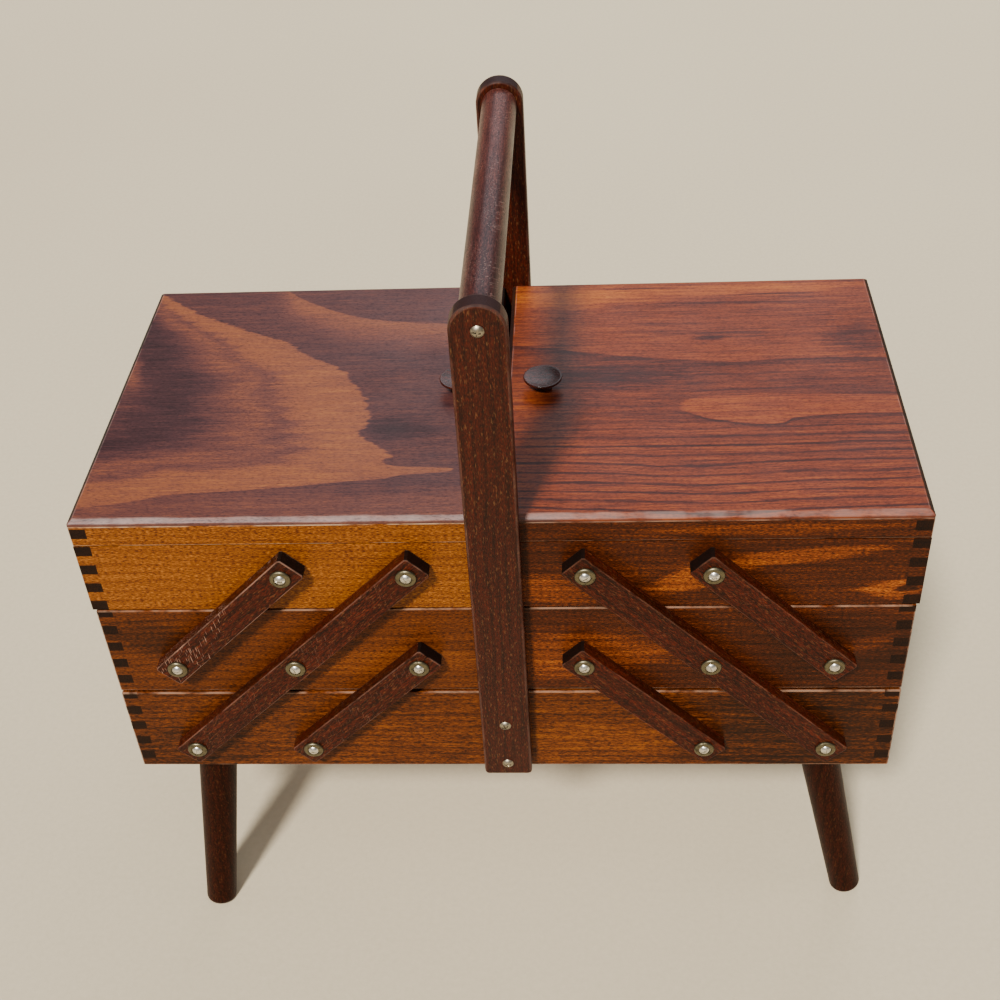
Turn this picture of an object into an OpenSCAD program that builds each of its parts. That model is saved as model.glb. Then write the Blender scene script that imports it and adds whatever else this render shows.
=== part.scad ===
// Sewing carrier: a wooden box of three tiers on four splayed legs. The base tray carries a
// handle. On each side a middle tray and a lidded top tray swing up and out on link bars.
// The frame's origin is on the floor under the middle of the box: X to the right, Y to the rear.

/* [Whole box] */
// Width of the base tray, end to end
box_w = 440; // [410:1:500]
// Depth of the base tray, front to rear
box_d = 226; // [190:1:270]
// Height of one tier; a top tier counts its lid
tier_h = 63; // [56:0.5:70]
// Free height between two tiers of the closed box
tier_gap = 1.4; // [0.8:0.1:2.4]
// Distance that the trays stand back from the base tray, front and rear
tray_setback = 0.8; // [0.5:0.1:1.5]
// Gap between the left and the right trays
centre_gap = 5; // [2:0.5:8]
// Distance that the top trays and lids reach past the ends below them
top_reach = 1.2; // [0:0.1:3]

/* [Boards] */
// Thickness of the side boards
board_t = 9; // [7:0.5:11]
// Height of one finger of the corner joints
finger_h = 6.5; // [5:0.5:9]
// Thickness of the plywood bottoms
bottom_t = 3; // [2:0.5:5]
// Height of a bottom above the lower edges of its boards
bottom_rise = 3; // [2:0.5:5]
// Depth of the groove that holds a bottom
groove_d = 4; // [2:0.5:6]
// Free height over a bottom in its groove
groove_play = 0.1; // [0.05:0.05:0.3]
// Free length between a bottom's edge and the end of its groove
groove_end_play = 0.3; // [0.1:0.1:1]

/* [Lids] */
// Height of a lid, rim and panel together
lid_h = 17; // [14:0.5:22]
// Width of the saw cut between a lid and its tray
saw_gap = 0.5; // [0.3:0.1:1]
// Thickness of the panel on a lid's rim
panel_t = 4; // [3:0.5:6]
// Height of the bevel round a panel
bevel_h = 2.2; // [1:0.1:2.8]
// Width of the bevel round a panel
bevel_w = 2.6; // [1:0.1:5]
// Height of the end grain finger above a lid's lower edge
lid_finger_z = 5; // [3:0.5:6]

/* [Links] */
// Lean of the closed links, in degrees from the horizontal
link_lean = 45; // [42:1:48]
// Height of the base tray's pivots above its lower edge
base_pivot_h = 25; // [20:0.5:30]
// How much higher in its boards each tray's pivots sit than those of the tier below
pivot_step = 2.8; // [0:0.1:5]
// Distance of a long link's top pivot from the middle of the box
inner_pivot_x = 46.3; // [42:0.1:52]
// Distance between the long and the lower short link
lower_pair_w = 68.4; // [62:0.1:70]
// Distance between the long and the upper short link
upper_pair_w = 65.8; // [60:0.1:70]
// Width of a link
link_w = 17; // [14:0.5:20]
// Thickness of a link
link_t = 8.5; // [6:0.5:10]
// Distance of a link's ends from its end pivots
link_end = 9.5; // [8:0.5:12]
// Size of the clipped corners of a link
link_clip = 1.2; // [0.5:0.1:3]
// Free space between a link and the base tray's face
link_play = 0.4; // [0.3:0.1:1]

/* [Pivot screws] */
// Radius of a pivot screw's shank
pivot_r = 1.9; // [1.5:0.1:2.4]
// Radial play of a shank in its link
pivot_play = 0.08; // [0.04:0.01:0.1]
// Radial play of a screw in its own board or bar
hold_play = 0.02; // [0.01:0.01:0.04]
// Wood left in the base tray's boards past a pivot screw's tip
tip_cover = 1; // [0.5:0.1:2]
// Free length past a screw's tip
tip_play = 0.2; // [0.1:0.1:0.4]
// Radius of a pivot screw's head
pivot_head_r = 3.1; // [2.6:0.1:3.6]
// Height of the straight wall of a pivot screw's head
pivot_head_wall = 0.9; // [0.5:0.1:1.5]
// Height of the dome on a pivot screw's head
pivot_dome_h = 1.3; // [0.8:0.1:2]
// Width of the slot in a pivot screw's head
slot_w = 0.9; // [0.6:0.1:1.2]
// Depth of the slot in a pivot screw's head
slot_d = 1.1; // [0.6:0.1:1.6]
// Outer radius of a cup washer
cup_r = 5.6; // [5:0.1:6.5]
// Thickness of a cup washer under the screw's head
cup_floor = 0.6; // [0.4:0.1:1]
// Height of a cup washer
cup_h = 1.7; // [1.2:0.1:2.4]
// Width of a cup washer's lip
cup_lip = 0.7; // [0.4:0.1:1]
// Radial play of a screw's head in its cup
cup_play = 0.15; // [0.1:0.05:0.3]
// Free space between a link and its cup washers
washer_play = 0.1; // [0.05:0.05:0.3]

/* [Handle] */
// Width of an upright
upright_w = 27.2; // [22:0.2:32]
// Thickness of an upright
upright_t = 10.4; // [8:0.2:13]
// Height of an upright's lower end above the base tray's lower edge
upright_foot = 4.3; // [1:0.1:8]
// Radius of the corners at an upright's lower end
upright_corner = 2.4; // [1:0.1:5]
// Diameter of the handle bar
bar_d = 20; // [16:0.5:24]
// Height of the handle bar's axis above the closed lids
bar_rise = 118.7; // [105:0.1:140]
// Height of an upright's lower screw above the upright's lower end
upright_screw_low = 9.6; // [8:0.1:12]
// Distance between an upright's two lower screws
upright_screw_pitch = 32.5; // [25:0.5:36]
// Radius of the handle screws' shanks
handle_screw_r = 2.1; // [1.6:0.1:2.6]
// Radius of the handle screws' heads
handle_head_r = 3.5; // [3:0.1:4.5]
// Height of the dome on a handle screw's head
handle_dome_h = 1.9; // [1:0.1:2.5]
// Length of a bar screw inside the bar
bar_screw_in = 28; // [20:1:45]
// Width of the cross in a handle screw's head
cross_w = 0.8; // [0.6:0.1:1.2]
// Span of the cross in a handle screw's head
cross_l = 3.8; // [3:0.1:5]
// Depth of the cross in a handle screw's head
cross_d = 1.2; // [0.6:0.1:1.5]

/* [Legs] */
// Height of the base tray's lower edge above the floor
leg_h = 128; // [100:1:160]
// Radius of a leg at its upper end
leg_top_r = 12; // [10:0.25:14]
// Radius of a leg at its foot
leg_foot_r = 9.4; // [7:0.1:11]
// Radius of the rounded edge of a foot
foot_round = 4; // [2:0.5:6]
// Depth of the level cut under a foot
foot_cut = 2.5; // [1.5:0.1:3]
// Splay of the legs from the vertical, in degrees
leg_splay = 15; // [8:0.5:20]
// Distance of a leg's axis from the base tray's end, at the tray's lower edge
leg_in_x = 39; // [32:0.5:60]
// Distance of a leg's axis from the base tray's front or rear, at the tray's lower edge
leg_in_y = 29; // [26:0.5:45]
// Direction that the front left leg leans to, in degrees from the box's length
front_left_turn = 67; // [20:1:70]
// Direction that the front right leg leans to, in degrees from the box's length
front_right_turn = 34; // [20:1:70]
// Direction that the rear legs lean to, in degrees from the box's length
rear_turn = 45; // [20:1:70]
// Radius of a leg's tenon
tenon_r = 6; // [4:0.5:8]
// Height of a leg's tenon
tenon_h = 8; // [5:0.5:9]
// Free height over a leg's tenon
tenon_play = 0.3; // [0.1:0.1:0.6]
// Depth of a corner block below the base tray's lower edge
block_drop = 8; // [5:0.5:12]
// Wood of a corner block inside the leg's hole
block_wall = 6; // [4:0.5:12]

/* [Knobs] */
// Distance of a knob's axis from the middle of the box
knob_x = 23.6; // [19:0.1:32]
// Radius of a knob's disc
knob_r = 11; // [9:0.1:13]
// Radius of a knob's foot
knob_foot_r = 5.2; // [4:0.1:6.5]
// Radius of a knob's neck
knob_neck_r = 4.2; // [3.4:0.1:5]
// Height of a knob's foot ring
knob_foot_h = 0.9; // [0.5:0.1:1.5]
// Height of the underside of a knob's disc
knob_disc_z = 5.6; // [4:0.1:7]
// Height of a knob's rim
knob_h = 8; // [7.6:0.1:10]
// Depth of the dish in a knob's top
knob_dish = 0.8; // [0.3:0.1:1.5]
// Radius of a knob's tenon
knob_tenon_r = 3; // [2:0.1:3.8]

/* [Hinges] */
// Distance of a hinge's middle from the middle of the lid
hinge_y = 62; // [40:1:75]
// Length of a hinge
hinge_l = 25; // [18:1:34]
// Thickness of a hinge leaf
leaf_t = 1; // [0.6:0.1:1.4]
// Reach of a hinge leaf over its board
leaf_reach = 7.5; // [5:0.1:8.5]
// Radius of a hinge barrel
barrel_r = 2.2; // [1.9:0.1:3]
// Free space between a barrel and the boards' faces
barrel_play = 0.3; // [0.3:0.1:0.6]
// Radius of a hinge pin
hinge_pin_r = 1.1; // [0.8:0.1:1.3]
// Radial play of a hinge pin
hinge_play = 0.05; // [0.03:0.01:0.08]
// Free length between two knuckles
knuckle_play = 0.25; // [0.2:0.05:0.5]
// Free space round a leaf in its pocket
pocket_play = 0.1; // [0.05:0.05:0.3]

/* [Hidden] */

$fn = 64;
// How far a cut runs past the face that it opens
over = 1;
// Lowest finger that is worth cutting
least_finger = 1;
// Degrees between the points of a rounded outline
arc_step = 15;
// Turn of a leg's seam out of the plane that the leg leans in
seam_turn = 90;
left = -1;
right = 1;

// Half sizes of the box, and the outer faces of its trays
half_w = box_w / 2;
half_d = box_d / 2;
half_gap = centre_gap / 2;
tray_y = half_d - tray_setback;
tray_l = half_w - half_gap;
top_l = tray_l + top_reach;
top_x = half_w + top_reach;

// Heights of the tiers above the floor
base_z = leg_h;
middle_z = base_z + tier_h + tier_gap;
top_z = middle_z + tier_h + tier_gap;
top_tray_h = tier_h - lid_h - saw_gap;
lid_z = top_z + top_tray_h + saw_gap;
rim_h = lid_h - panel_t;
panel_z = lid_z + rim_h;
roof_z = lid_z + lid_h;

// Inner faces of the boards, seen from the outer face
groove_in = board_t - groove_d;
bottom_in = groove_in + groove_end_play;

// Link bars: what one tier adds in height, and where the pivots lie on the right side
link_rise = tier_h + tier_gap + pivot_step;
link_run = link_rise / tan(link_lean);
link_pitch = link_rise / sin(link_lean);
base_pivot_z = base_z + base_pivot_h;
middle_pivot_z = base_pivot_z + link_rise;
top_pivot_z = middle_pivot_z + link_rise;
long_top_x = inner_pivot_x;
long_middle_x = long_top_x + link_run;
long_base_x = long_middle_x + link_run;
lower_base_x = long_base_x - lower_pair_w;
lower_middle_x = long_middle_x - lower_pair_w;
upper_middle_x = long_middle_x + upper_pair_w;
upper_top_x = long_top_x + upper_pair_w;
base_pivots = [[long_base_x, base_pivot_z], [lower_base_x, base_pivot_z]];
middle_pivots = [
    [long_middle_x, middle_pivot_z],
    [lower_middle_x, middle_pivot_z],
    [upper_middle_x, middle_pivot_z],
];
top_pivots = [[long_top_x, top_pivot_z], [upper_top_x, top_pivot_z]];
link_y = half_d + link_play;
link_face_y = link_y + link_t;
pivot_tip_y = half_d - board_t + tip_cover;

// Handle
bar_z = roof_z + bar_rise;
upright_z = base_z + upright_foot;
upright_l = bar_z - upright_z;
upright_face_y = half_d + upright_t;
upright_screw_zs = [
    upright_z + upright_screw_low,
    upright_z + upright_screw_low + upright_screw_pitch,
];
upright_screw_l = upright_t + board_t - tip_cover;

// Legs: the length along the axis down to the middle of the foot's end face
leg_x = half_w - leg_in_x;
leg_y = half_d - leg_in_y;
foot_drop = base_z + foot_cut - foot_round - (leg_foot_r - foot_round) * sin(leg_splay);
leg_l = foot_round + foot_drop / cos(leg_splay);
block_z = base_z - block_drop;
block_h = block_drop + bottom_rise;
block_l = leg_in_x - board_t + leg_top_r + block_wall;
block_d = leg_in_y - board_t + leg_top_r + block_wall;

// Hinges
hinge_x = top_x + barrel_play + barrel_r;
hinge_z = lid_z - saw_gap / 2;
knuckle_l = (hinge_l - 2 * knuckle_play) / 3;
knuckle_step = knuckle_l + knuckle_play;

light_oak = "#b06a28";
red_oak = "#8a3f1c";
brown_oak = "#7a4420";
dark_wood = "#3a1712";
plum_wood = "#5a2a30";
plywood = "#c49a62";
nickel = "#c9c6bc";
brass = "#b3a477";

// Draws what it holds on the right side, or mirrored on the left
module on_side(side) {
    if (side == left) mirror([1, 0, 0]) children();
    else children();
}

// Draws what it holds at the front and, mirrored, at the rear
module both_faces() {
    children();
    mirror([0, 1, 0]) children();
}

// Fingers

// Lower edges of the fingers that the end boards show at the front
function finger_zs(h, first) = [for (z = [first : 2 * finger_h : h - least_finger]) z];

module finger_cut(h, z) {
    low = z > 0 ? z : -over;
    high = z + finger_h < h ? z + finger_h : h + over;
    translate([-over, -over, low]) cube([board_t + over, board_t + 2 * over, high - low]);
}

// Long board of a tray, from its left end, with its outer face at y = 0
module side_board(l, h, first) {
    difference() {
        cube([l, board_t, h]);
        for (z = finger_zs(h, first)) {
            finger_cut(h, z);
            translate([l, 0, 0]) mirror([1, 0, 0]) finger_cut(h, z);
        }
    }
}

// End board of a tray, with its outer face at x = 0
module end_board(d, h, first) {
    translate([0, board_t, 0]) cube([board_t, d - 2 * board_t, h]);
    for (z = finger_zs(h, first)) {
        finger = [board_t, board_t + over, min(finger_h, h - z)];
        translate([0, 0, z]) cube(finger);
        translate([0, d - board_t - over, z]) cube(finger);
    }
}

// Both end boards of a tray whose inner end stands at the centre gap
module end_pair(l, h, first) {
    translate([half_gap, -tray_y, 0]) end_board(2 * tray_y, h, first);
    translate([half_gap + l, -tray_y, 0]) mirror([1, 0, 0]) end_board(2 * tray_y, h, first);
}

// Space for the bottom of a tray of length l and depth d
module groove_space(l, d) {
    translate([groove_in, groove_in, bottom_rise])
        cube([l - 2 * groove_in, d - 2 * groove_in, bottom_t + groove_play]);
}

module tray_bottom(l, d) {
    translate([bottom_in, bottom_in, bottom_rise])
        cube([l - 2 * bottom_in, d - 2 * bottom_in, bottom_t]);
}

// Holes for pivot screws in a front board whose outer face is at face_y
module pivot_holes(pivots, face_y) {
    depth = face_y - pivot_tip_y + tip_play + over;
    for (p = pivots)
        translate([p[0], -face_y - over, p[1]])
            rotate([-90, 0, 0]) cylinder(r = pivot_r + hold_play, h = depth);
}

// Base tray

module upright_holes() {
    depth = board_t - tip_cover + tip_play + over;
    for (z = upright_screw_zs)
        translate([0, -half_d - over, z])
            rotate([-90, 0, 0]) cylinder(r = handle_screw_r + hold_play, h = depth);
}

module base_long_board() {
    color(brown_oak) difference() {
        translate([-half_w, -half_d, base_z]) side_board(box_w, tier_h, finger_h);
        translate([-half_w, -half_d, base_z]) groove_space(box_w, box_d);
        for (side = [left, right]) on_side(side) pivot_holes(base_pivots, half_d);
        upright_holes();
    }
}

module base_end() {
    color(brown_oak) difference() {
        translate([-half_w, -half_d, base_z]) end_board(box_d, tier_h, finger_h);
        translate([-half_w, -half_d, base_z]) groove_space(box_w, box_d);
    }
}

module base_front_board() { base_long_board(); }

module base_rear_board() { mirror([0, 1, 0]) base_long_board(); }

module base_left_end() { base_end(); }

module base_right_end() { mirror([1, 0, 0]) base_end(); }

module base_bottom() {
    color(plywood) translate([-half_w, -half_d, base_z]) tray_bottom(box_w, box_d);
}

// Legs

// Places what it holds along a leg's axis, from the base tray's lower edge to the foot
module along_leg(turn) {
    translate([leg_x, leg_y, base_z]) rotate([0, 180 - leg_splay, turn])
        rotate([0, 0, seam_turn]) children();
}

// Outline of a leg from its axis, with the rounded edge of the foot
module leg_outline() {
    centre = [leg_foot_r - foot_round, leg_l - foot_round];
    round_edge = [
        for (a = [0 : arc_step : 90]) centre + foot_round * [cos(a), sin(a)],
    ];
    polygon(concat([[0, 0], [leg_top_r, 0]], round_edge, [[0, leg_l]]));
}

module level_slab(low, high) {
    reach = leg_top_r + leg_l;
    translate([leg_x - reach, leg_y - reach, low]) cube([2 * reach, 2 * reach, high - low]);
}

module tenon(r, turn) {
    along_leg(turn) translate([0, 0, -block_h]) cylinder(r = r, h = 2 * (block_drop + block_h));
}

module leg(turn) {
    color(dark_wood) {
        intersection() {
            along_leg(turn) rotate_extrude() leg_outline();
            level_slab(0, block_z);
        }
        intersection() {
            tenon(tenon_r, turn);
            level_slab(block_z - over, block_z + tenon_h);
        }
    }
}

// Block that is glued into a rear right corner under the base tray's bottom
module leg_block(turn) {
    color(dark_wood) difference() {
        translate([half_w - board_t - block_l, half_d - board_t - block_d, block_z])
            cube([block_l, block_d, block_h]);
        intersection() {
            tenon(tenon_r + hold_play, turn);
            level_slab(block_z - over, block_z + tenon_h + tenon_play);
        }
    }
}

module leg_blocks() {
    leg_block(rear_turn);
    mirror([1, 0, 0]) leg_block(rear_turn);
    mirror([0, 1, 0]) leg_block(front_right_turn);
    mirror([1, 0, 0]) mirror([0, 1, 0]) leg_block(front_left_turn);
}

module leg_front_left() { mirror([1, 0, 0]) mirror([0, 1, 0]) leg(front_left_turn); }

module leg_front_right() { mirror([0, 1, 0]) leg(front_right_turn); }

module leg_rear_left() { mirror([1, 0, 0]) leg(rear_turn); }

module leg_rear_right() { leg(rear_turn); }

// Handle

module upright_outline() {
    inner_w = upright_w - 2 * upright_corner;
    translate([-upright_w / 2, upright_corner]) square([upright_w, upright_l - upright_corner]);
    translate([-inner_w / 2, 0]) square([inner_w, 2 * upright_corner]);
    for (x = [-inner_w / 2, inner_w / 2]) translate([x, upright_corner]) circle(r = upright_corner);
    translate([0, upright_l]) circle(d = upright_w);
}

module upright() {
    color(dark_wood) translate([0, -half_d, upright_z]) rotate([90, 0, 0])
        linear_extrude(upright_t) difference() {
            upright_outline();
            for (z = concat(upright_screw_zs, [bar_z]))
                translate([0, z - upright_z]) circle(r = handle_screw_r + hold_play);
        }
}

module front_upright() { upright(); }

module rear_upright() { mirror([0, 1, 0]) upright(); }

module handle_bar() {
    depth = bar_screw_in + tip_play + over;
    color(plum_wood) difference() {
        translate([0, half_d, bar_z]) rotate([90, 0, 0]) cylinder(d = bar_d, h = box_d);
        both_faces() translate([0, -half_d - over, bar_z])
            rotate([-90, 0, 0]) cylinder(r = handle_screw_r + hold_play, h = depth);
    }
}

// Dome of radius r and height h that stands on z = 0
module dome(r, h) {
    ball_r = (r * r + h * h) / (2 * h);
    intersection() {
        translate([0, 0, h - ball_r]) sphere(r = ball_r);
        cylinder(r = r, h = h);
    }
}

// Cross-headed screw with its head on z = 0 and a shank of length l below it
module handle_screw(l) {
    color(nickel) difference() {
        union() {
            translate([0, 0, -l]) cylinder(r = handle_screw_r, h = l);
            dome(handle_head_r, handle_dome_h);
        }
        for (a = [0, 90]) rotate([0, 0, a])
            translate([-cross_l / 2, -cross_w / 2, handle_dome_h - cross_d])
                cube([cross_l, cross_w, cross_d + over]);
    }
}

module handle_bar_screws() {
    both_faces() translate([0, -upright_face_y, bar_z])
        rotate([90, 0, 0]) handle_screw(upright_t + bar_screw_in);
}

module upright_screws() {
    both_faces() for (z = upright_screw_zs)
        translate([0, -upright_face_y, z]) rotate([90, 0, 0]) handle_screw(upright_screw_l);
}

// Pivot screws and cup washers

// Places what it holds on the links' outer faces at the given pivots, with z outwards
module at_pivots(pivots) {
    both_faces() for (p = pivots)
        translate([p[0], -link_face_y - washer_play, p[1]]) rotate([90, 0, 0]) children();
}

// Slotted screw that stands in its cup washer and runs through the link into a board
module pivot_screw() {
    shank_l = link_face_y + washer_play + cup_floor - pivot_tip_y;
    head_top = pivot_head_wall + pivot_dome_h;
    color(nickel) translate([0, 0, cup_floor]) difference() {
        union() {
            translate([0, 0, -shank_l]) cylinder(r = pivot_r, h = shank_l);
            cylinder(r = pivot_head_r, h = pivot_head_wall);
            translate([0, 0, pivot_head_wall]) dome(pivot_head_r, pivot_dome_h);
        }
        translate([-slot_w / 2, -cup_r, head_top - slot_d]) cube([slot_w, 2 * cup_r, slot_d + over]);
    }
}

module cup_washer() {
    hole_r = pivot_r + pivot_play;
    seat_r = pivot_head_r + cup_play;
    color(brass) rotate_extrude() polygon([
        [hole_r, 0], [cup_r, 0], [cup_r, cup_floor], [seat_r + cup_lip, cup_h],
        [seat_r, cup_h], [seat_r, cup_floor], [hole_r, cup_floor],
    ]);
}

module base_pivot_screws() {
    for (side = [left, right]) on_side(side) at_pivots(base_pivots) pivot_screw();
}

module base_cup_washers() {
    for (side = [left, right]) on_side(side) at_pivots(base_pivots) cup_washer();
}

module middle_pivot_screws(side) { on_side(side) at_pivots(middle_pivots) pivot_screw(); }

module middle_cup_washers(side) { on_side(side) at_pivots(middle_pivots) cup_washer(); }

module top_pivot_screws(side) { on_side(side) at_pivots(top_pivots) pivot_screw(); }

module top_cup_washers(side) { on_side(side) at_pivots(top_pivots) cup_washer(); }

// Link bars

// Outline of a link with its first pivot at the origin, and the others along X
module link_outline(pivot_count) {
    x0 = -link_end;
    x1 = (pivot_count - 1) * link_pitch + link_end;
    y1 = link_w / 2;
    c = link_clip;
    difference() {
        polygon([
            [x0 + c, -y1], [x1 - c, -y1], [x1, c - y1], [x1, y1 - c],
            [x1 - c, y1], [x0 + c, y1], [x0, y1 - c], [x0, c - y1],
        ]);
        for (i = [0 : pivot_count - 1])
            translate([i * link_pitch, 0]) circle(r = pivot_r + pivot_play);
    }
}

// Front and rear link that start at the given lower pivot and lean towards the middle
module link_pair(pivot, pivot_count) {
    color(dark_wood) both_faces() translate([pivot[0], -link_y, pivot[1]])
        rotate([0, link_lean - 180, 0]) rotate([90, 0, 0])
            linear_extrude(link_t) link_outline(pivot_count);
}

module long_links(side) { on_side(side) link_pair(base_pivots[0], 3); }

module lower_links(side) { on_side(side) link_pair(base_pivots[1], 2); }

module upper_links(side) { on_side(side) link_pair(middle_pivots[2], 2); }

// Middle trays

module middle_long_board() {
    difference() {
        translate([half_gap, -tray_y, middle_z]) side_board(tray_l, tier_h, finger_h);
        translate([half_gap, -tray_y, middle_z]) groove_space(tray_l, 2 * tray_y);
        pivot_holes(middle_pivots, tray_y);
    }
}

module middle_front_board(side) { color(brown_oak) on_side(side) middle_long_board(); }

module middle_rear_board(side) {
    color(brown_oak) on_side(side) mirror([0, 1, 0]) middle_long_board();
}

module middle_ends(side) {
    color(brown_oak) on_side(side) difference() {
        translate([0, 0, middle_z]) end_pair(tray_l, tier_h, finger_h);
        translate([half_gap, -tray_y, middle_z]) groove_space(tray_l, 2 * tray_y);
    }
}

module middle_bottom(side) {
    color(plywood) on_side(side)
        translate([half_gap, -tray_y, middle_z]) tray_bottom(tray_l, 2 * tray_y);
}

// Top trays

module top_long_board() {
    difference() {
        translate([half_gap, -tray_y, top_z]) side_board(top_l, top_tray_h, 0);
        translate([half_gap, -tray_y, top_z]) groove_space(top_l, 2 * tray_y);
        pivot_holes(top_pivots, tray_y);
    }
}

module top_front_board(side) {
    color(side == left ? light_oak : red_oak) on_side(side) top_long_board();
}

module top_rear_board(side) {
    color(side == left ? light_oak : red_oak) on_side(side) mirror([0, 1, 0]) top_long_board();
}

module top_ends(side) {
    color(brown_oak) on_side(side) difference() {
        translate([0, 0, top_z]) end_pair(top_l, top_tray_h, 0);
        translate([half_gap, -tray_y, top_z]) groove_space(top_l, 2 * tray_y);
        leaf_pockets(-saw_gap / 2 - leaf_t, -saw_gap / 2 + over);
    }
}

module top_bottom(side) {
    color(plywood) on_side(side)
        translate([half_gap, -tray_y, top_z]) tray_bottom(top_l, 2 * tray_y);
}

// Lids

// Section of a lid's panel across a width w
module panel_section(w) {
    edge_h = panel_t - bevel_h;
    polygon([
        [0, 0], [w, 0], [w, edge_h], [w - bevel_w, panel_t], [bevel_w, panel_t], [0, edge_h],
    ]);
}

module lid_panel(side) {
    d = 2 * tray_y;
    color(side == left ? plum_wood : red_oak) on_side(side) difference() {
        translate([half_gap, 0, panel_z]) intersection() {
            translate([0, -tray_y, 0]) rotate([90, 0, 90]) linear_extrude(top_l) panel_section(d);
            translate([0, tray_y, 0]) rotate([90, 0, 0]) linear_extrude(d) panel_section(top_l);
        }
        translate([knob_x, 0, panel_z - over])
            cylinder(r = knob_tenon_r + hold_play, h = panel_t + 2 * over);
    }
}

module lid_side_rims(side) {
    color(side == left ? light_oak : red_oak) on_side(side) both_faces()
        translate([half_gap, -tray_y, lid_z]) side_board(top_l, rim_h, lid_finger_z);
}

module lid_end_rims(side) {
    color(brown_oak) on_side(side) difference() {
        translate([0, 0, lid_z]) end_pair(top_l, rim_h, lid_finger_z);
        leaf_pockets(saw_gap / 2 - over, saw_gap / 2 + leaf_t);
    }
}

// Turned knob whose tenon is glued into the panel
module lid_knob(side) {
    color(dark_wood) on_side(side) translate([knob_x, 0, roof_z]) rotate_extrude() polygon([
        [0, -panel_t], [knob_tenon_r, -panel_t], [knob_tenon_r, 0], [knob_foot_r, 0],
        [knob_foot_r, knob_foot_h], [knob_neck_r, 2 * knob_foot_h],
        [(knob_neck_r + knob_r) / 2, knob_disc_z - knob_foot_h], [knob_r, knob_disc_z + knob_foot_h],
        [knob_r, knob_h - knob_foot_h / 2], [knob_r - knob_foot_h, knob_h],
        [knob_r / 2, knob_h - knob_dish * 3 / 4], [0, knob_h - knob_dish],
    ]);
}

// Hinges

// Places what it holds at both hinges of the right lid, with the pin along Y
module at_hinges() {
    both_faces() translate([hinge_x, hinge_y, hinge_z]) children();
}

// Pockets in the end boards for leaves that lie between two heights over the pin's axis
module leaf_pockets(low, high) {
    reach = barrel_r + barrel_play + leaf_reach + pocket_play;
    l = hinge_l + 2 * pocket_play;
    at_hinges() translate([-reach, -l / 2, low]) cube([reach + over, l, high - low]);
}

// Leaf with its knuckles at the given places along the pin
module hinge_leaf(low, knuckle_ys) {
    root = barrel_r + barrel_play;
    difference() {
        union() {
            translate([-root - leaf_reach, -hinge_l / 2, low]) cube([leaf_reach, hinge_l, leaf_t]);
            for (y = knuckle_ys) translate([0, y - knuckle_l / 2, 0]) {
                translate([-root - over, 0, low]) cube([root + over, knuckle_l, leaf_t]);
                rotate([-90, 0, 0]) cylinder(r = barrel_r, h = knuckle_l);
            }
        }
        translate([0, -hinge_l, 0])
            rotate([-90, 0, 0]) cylinder(r = hinge_pin_r + hinge_play, h = 2 * hinge_l);
    }
}

module hinge_pin() {
    translate([0, -hinge_l / 2, 0]) rotate([-90, 0, 0]) cylinder(r = hinge_pin_r, h = hinge_l);
}

// Leaves on the top tray, and the pins that they hold
module hinge_tray_leaves(side) {
    color(brass) on_side(side) at_hinges() {
        hinge_leaf(-saw_gap / 2 - leaf_t, [-knuckle_step, knuckle_step]);
        hinge_pin();
    }
}

module hinge_lid_leaves(side) {
    color(brass) on_side(side) at_hinges() hinge_leaf(saw_gap / 2, [0]);
}

base_front_board();
base_rear_board();
base_left_end();
base_right_end();
base_bottom();
leg_blocks();
leg_front_left();
leg_front_right();
leg_rear_left();
leg_rear_right();
front_upright();
rear_upright();
handle_bar();
handle_bar_screws();
upright_screws();
base_pivot_screws();
base_cup_washers();
long_links(left);  // left_long_links
lower_links(left);  // left_lower_links
upper_links(left);  // left_upper_links
middle_front_board(left);  // left_middle_front_board
middle_rear_board(left);  // left_middle_rear_board
middle_ends(left);  // left_middle_ends
middle_bottom(left);  // left_middle_bottom
middle_pivot_screws(left);  // left_middle_pivot_screws
middle_cup_washers(left);  // left_middle_cup_washers
top_front_board(left);  // left_top_front_board
top_rear_board(left);  // left_top_rear_board
top_ends(left);  // left_top_ends
top_bottom(left);  // left_top_bottom
top_pivot_screws(left);  // left_top_pivot_screws
top_cup_washers(left);  // left_top_cup_washers
lid_panel(left);  // left_lid_panel
lid_side_rims(left);  // left_lid_side_rims
lid_end_rims(left);  // left_lid_end_rims
lid_knob(left);  // left_lid_knob
hinge_tray_leaves(left);  // left_hinge_tray_leaves
hinge_lid_leaves(left);  // left_hinge_lid_leaves
long_links(right);  // right_long_links
lower_links(right);  // right_lower_links
upper_links(right);  // right_upper_links
middle_front_board(right);  // right_middle_front_board
middle_rear_board(right);  // right_middle_rear_board
middle_ends(right);  // right_middle_ends
middle_bottom(right);  // right_middle_bottom
middle_pivot_screws(right);  // right_middle_pivot_screws
middle_cup_washers(right);  // right_middle_cup_washers
top_front_board(right);  // right_top_front_board
top_rear_board(right);  // right_top_rear_board
top_ends(right);  // right_top_ends
top_bottom(right);  // right_top_bottom
top_pivot_screws(right);  // right_top_pivot_screws
top_cup_washers(right);  // right_top_cup_washers
lid_panel(right);  // right_lid_panel
lid_side_rims(right);  // right_lid_side_rims
lid_end_rims(right);  // right_lid_end_rims
lid_knob(right);  // right_lid_knob
hinge_tray_leaves(right);  // right_hinge_tray_leaves
hinge_lid_leaves(right);  // right_hinge_lid_leaves
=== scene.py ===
import math
import random

import bmesh
import bpy
from mathutils import Matrix, Vector


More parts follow.
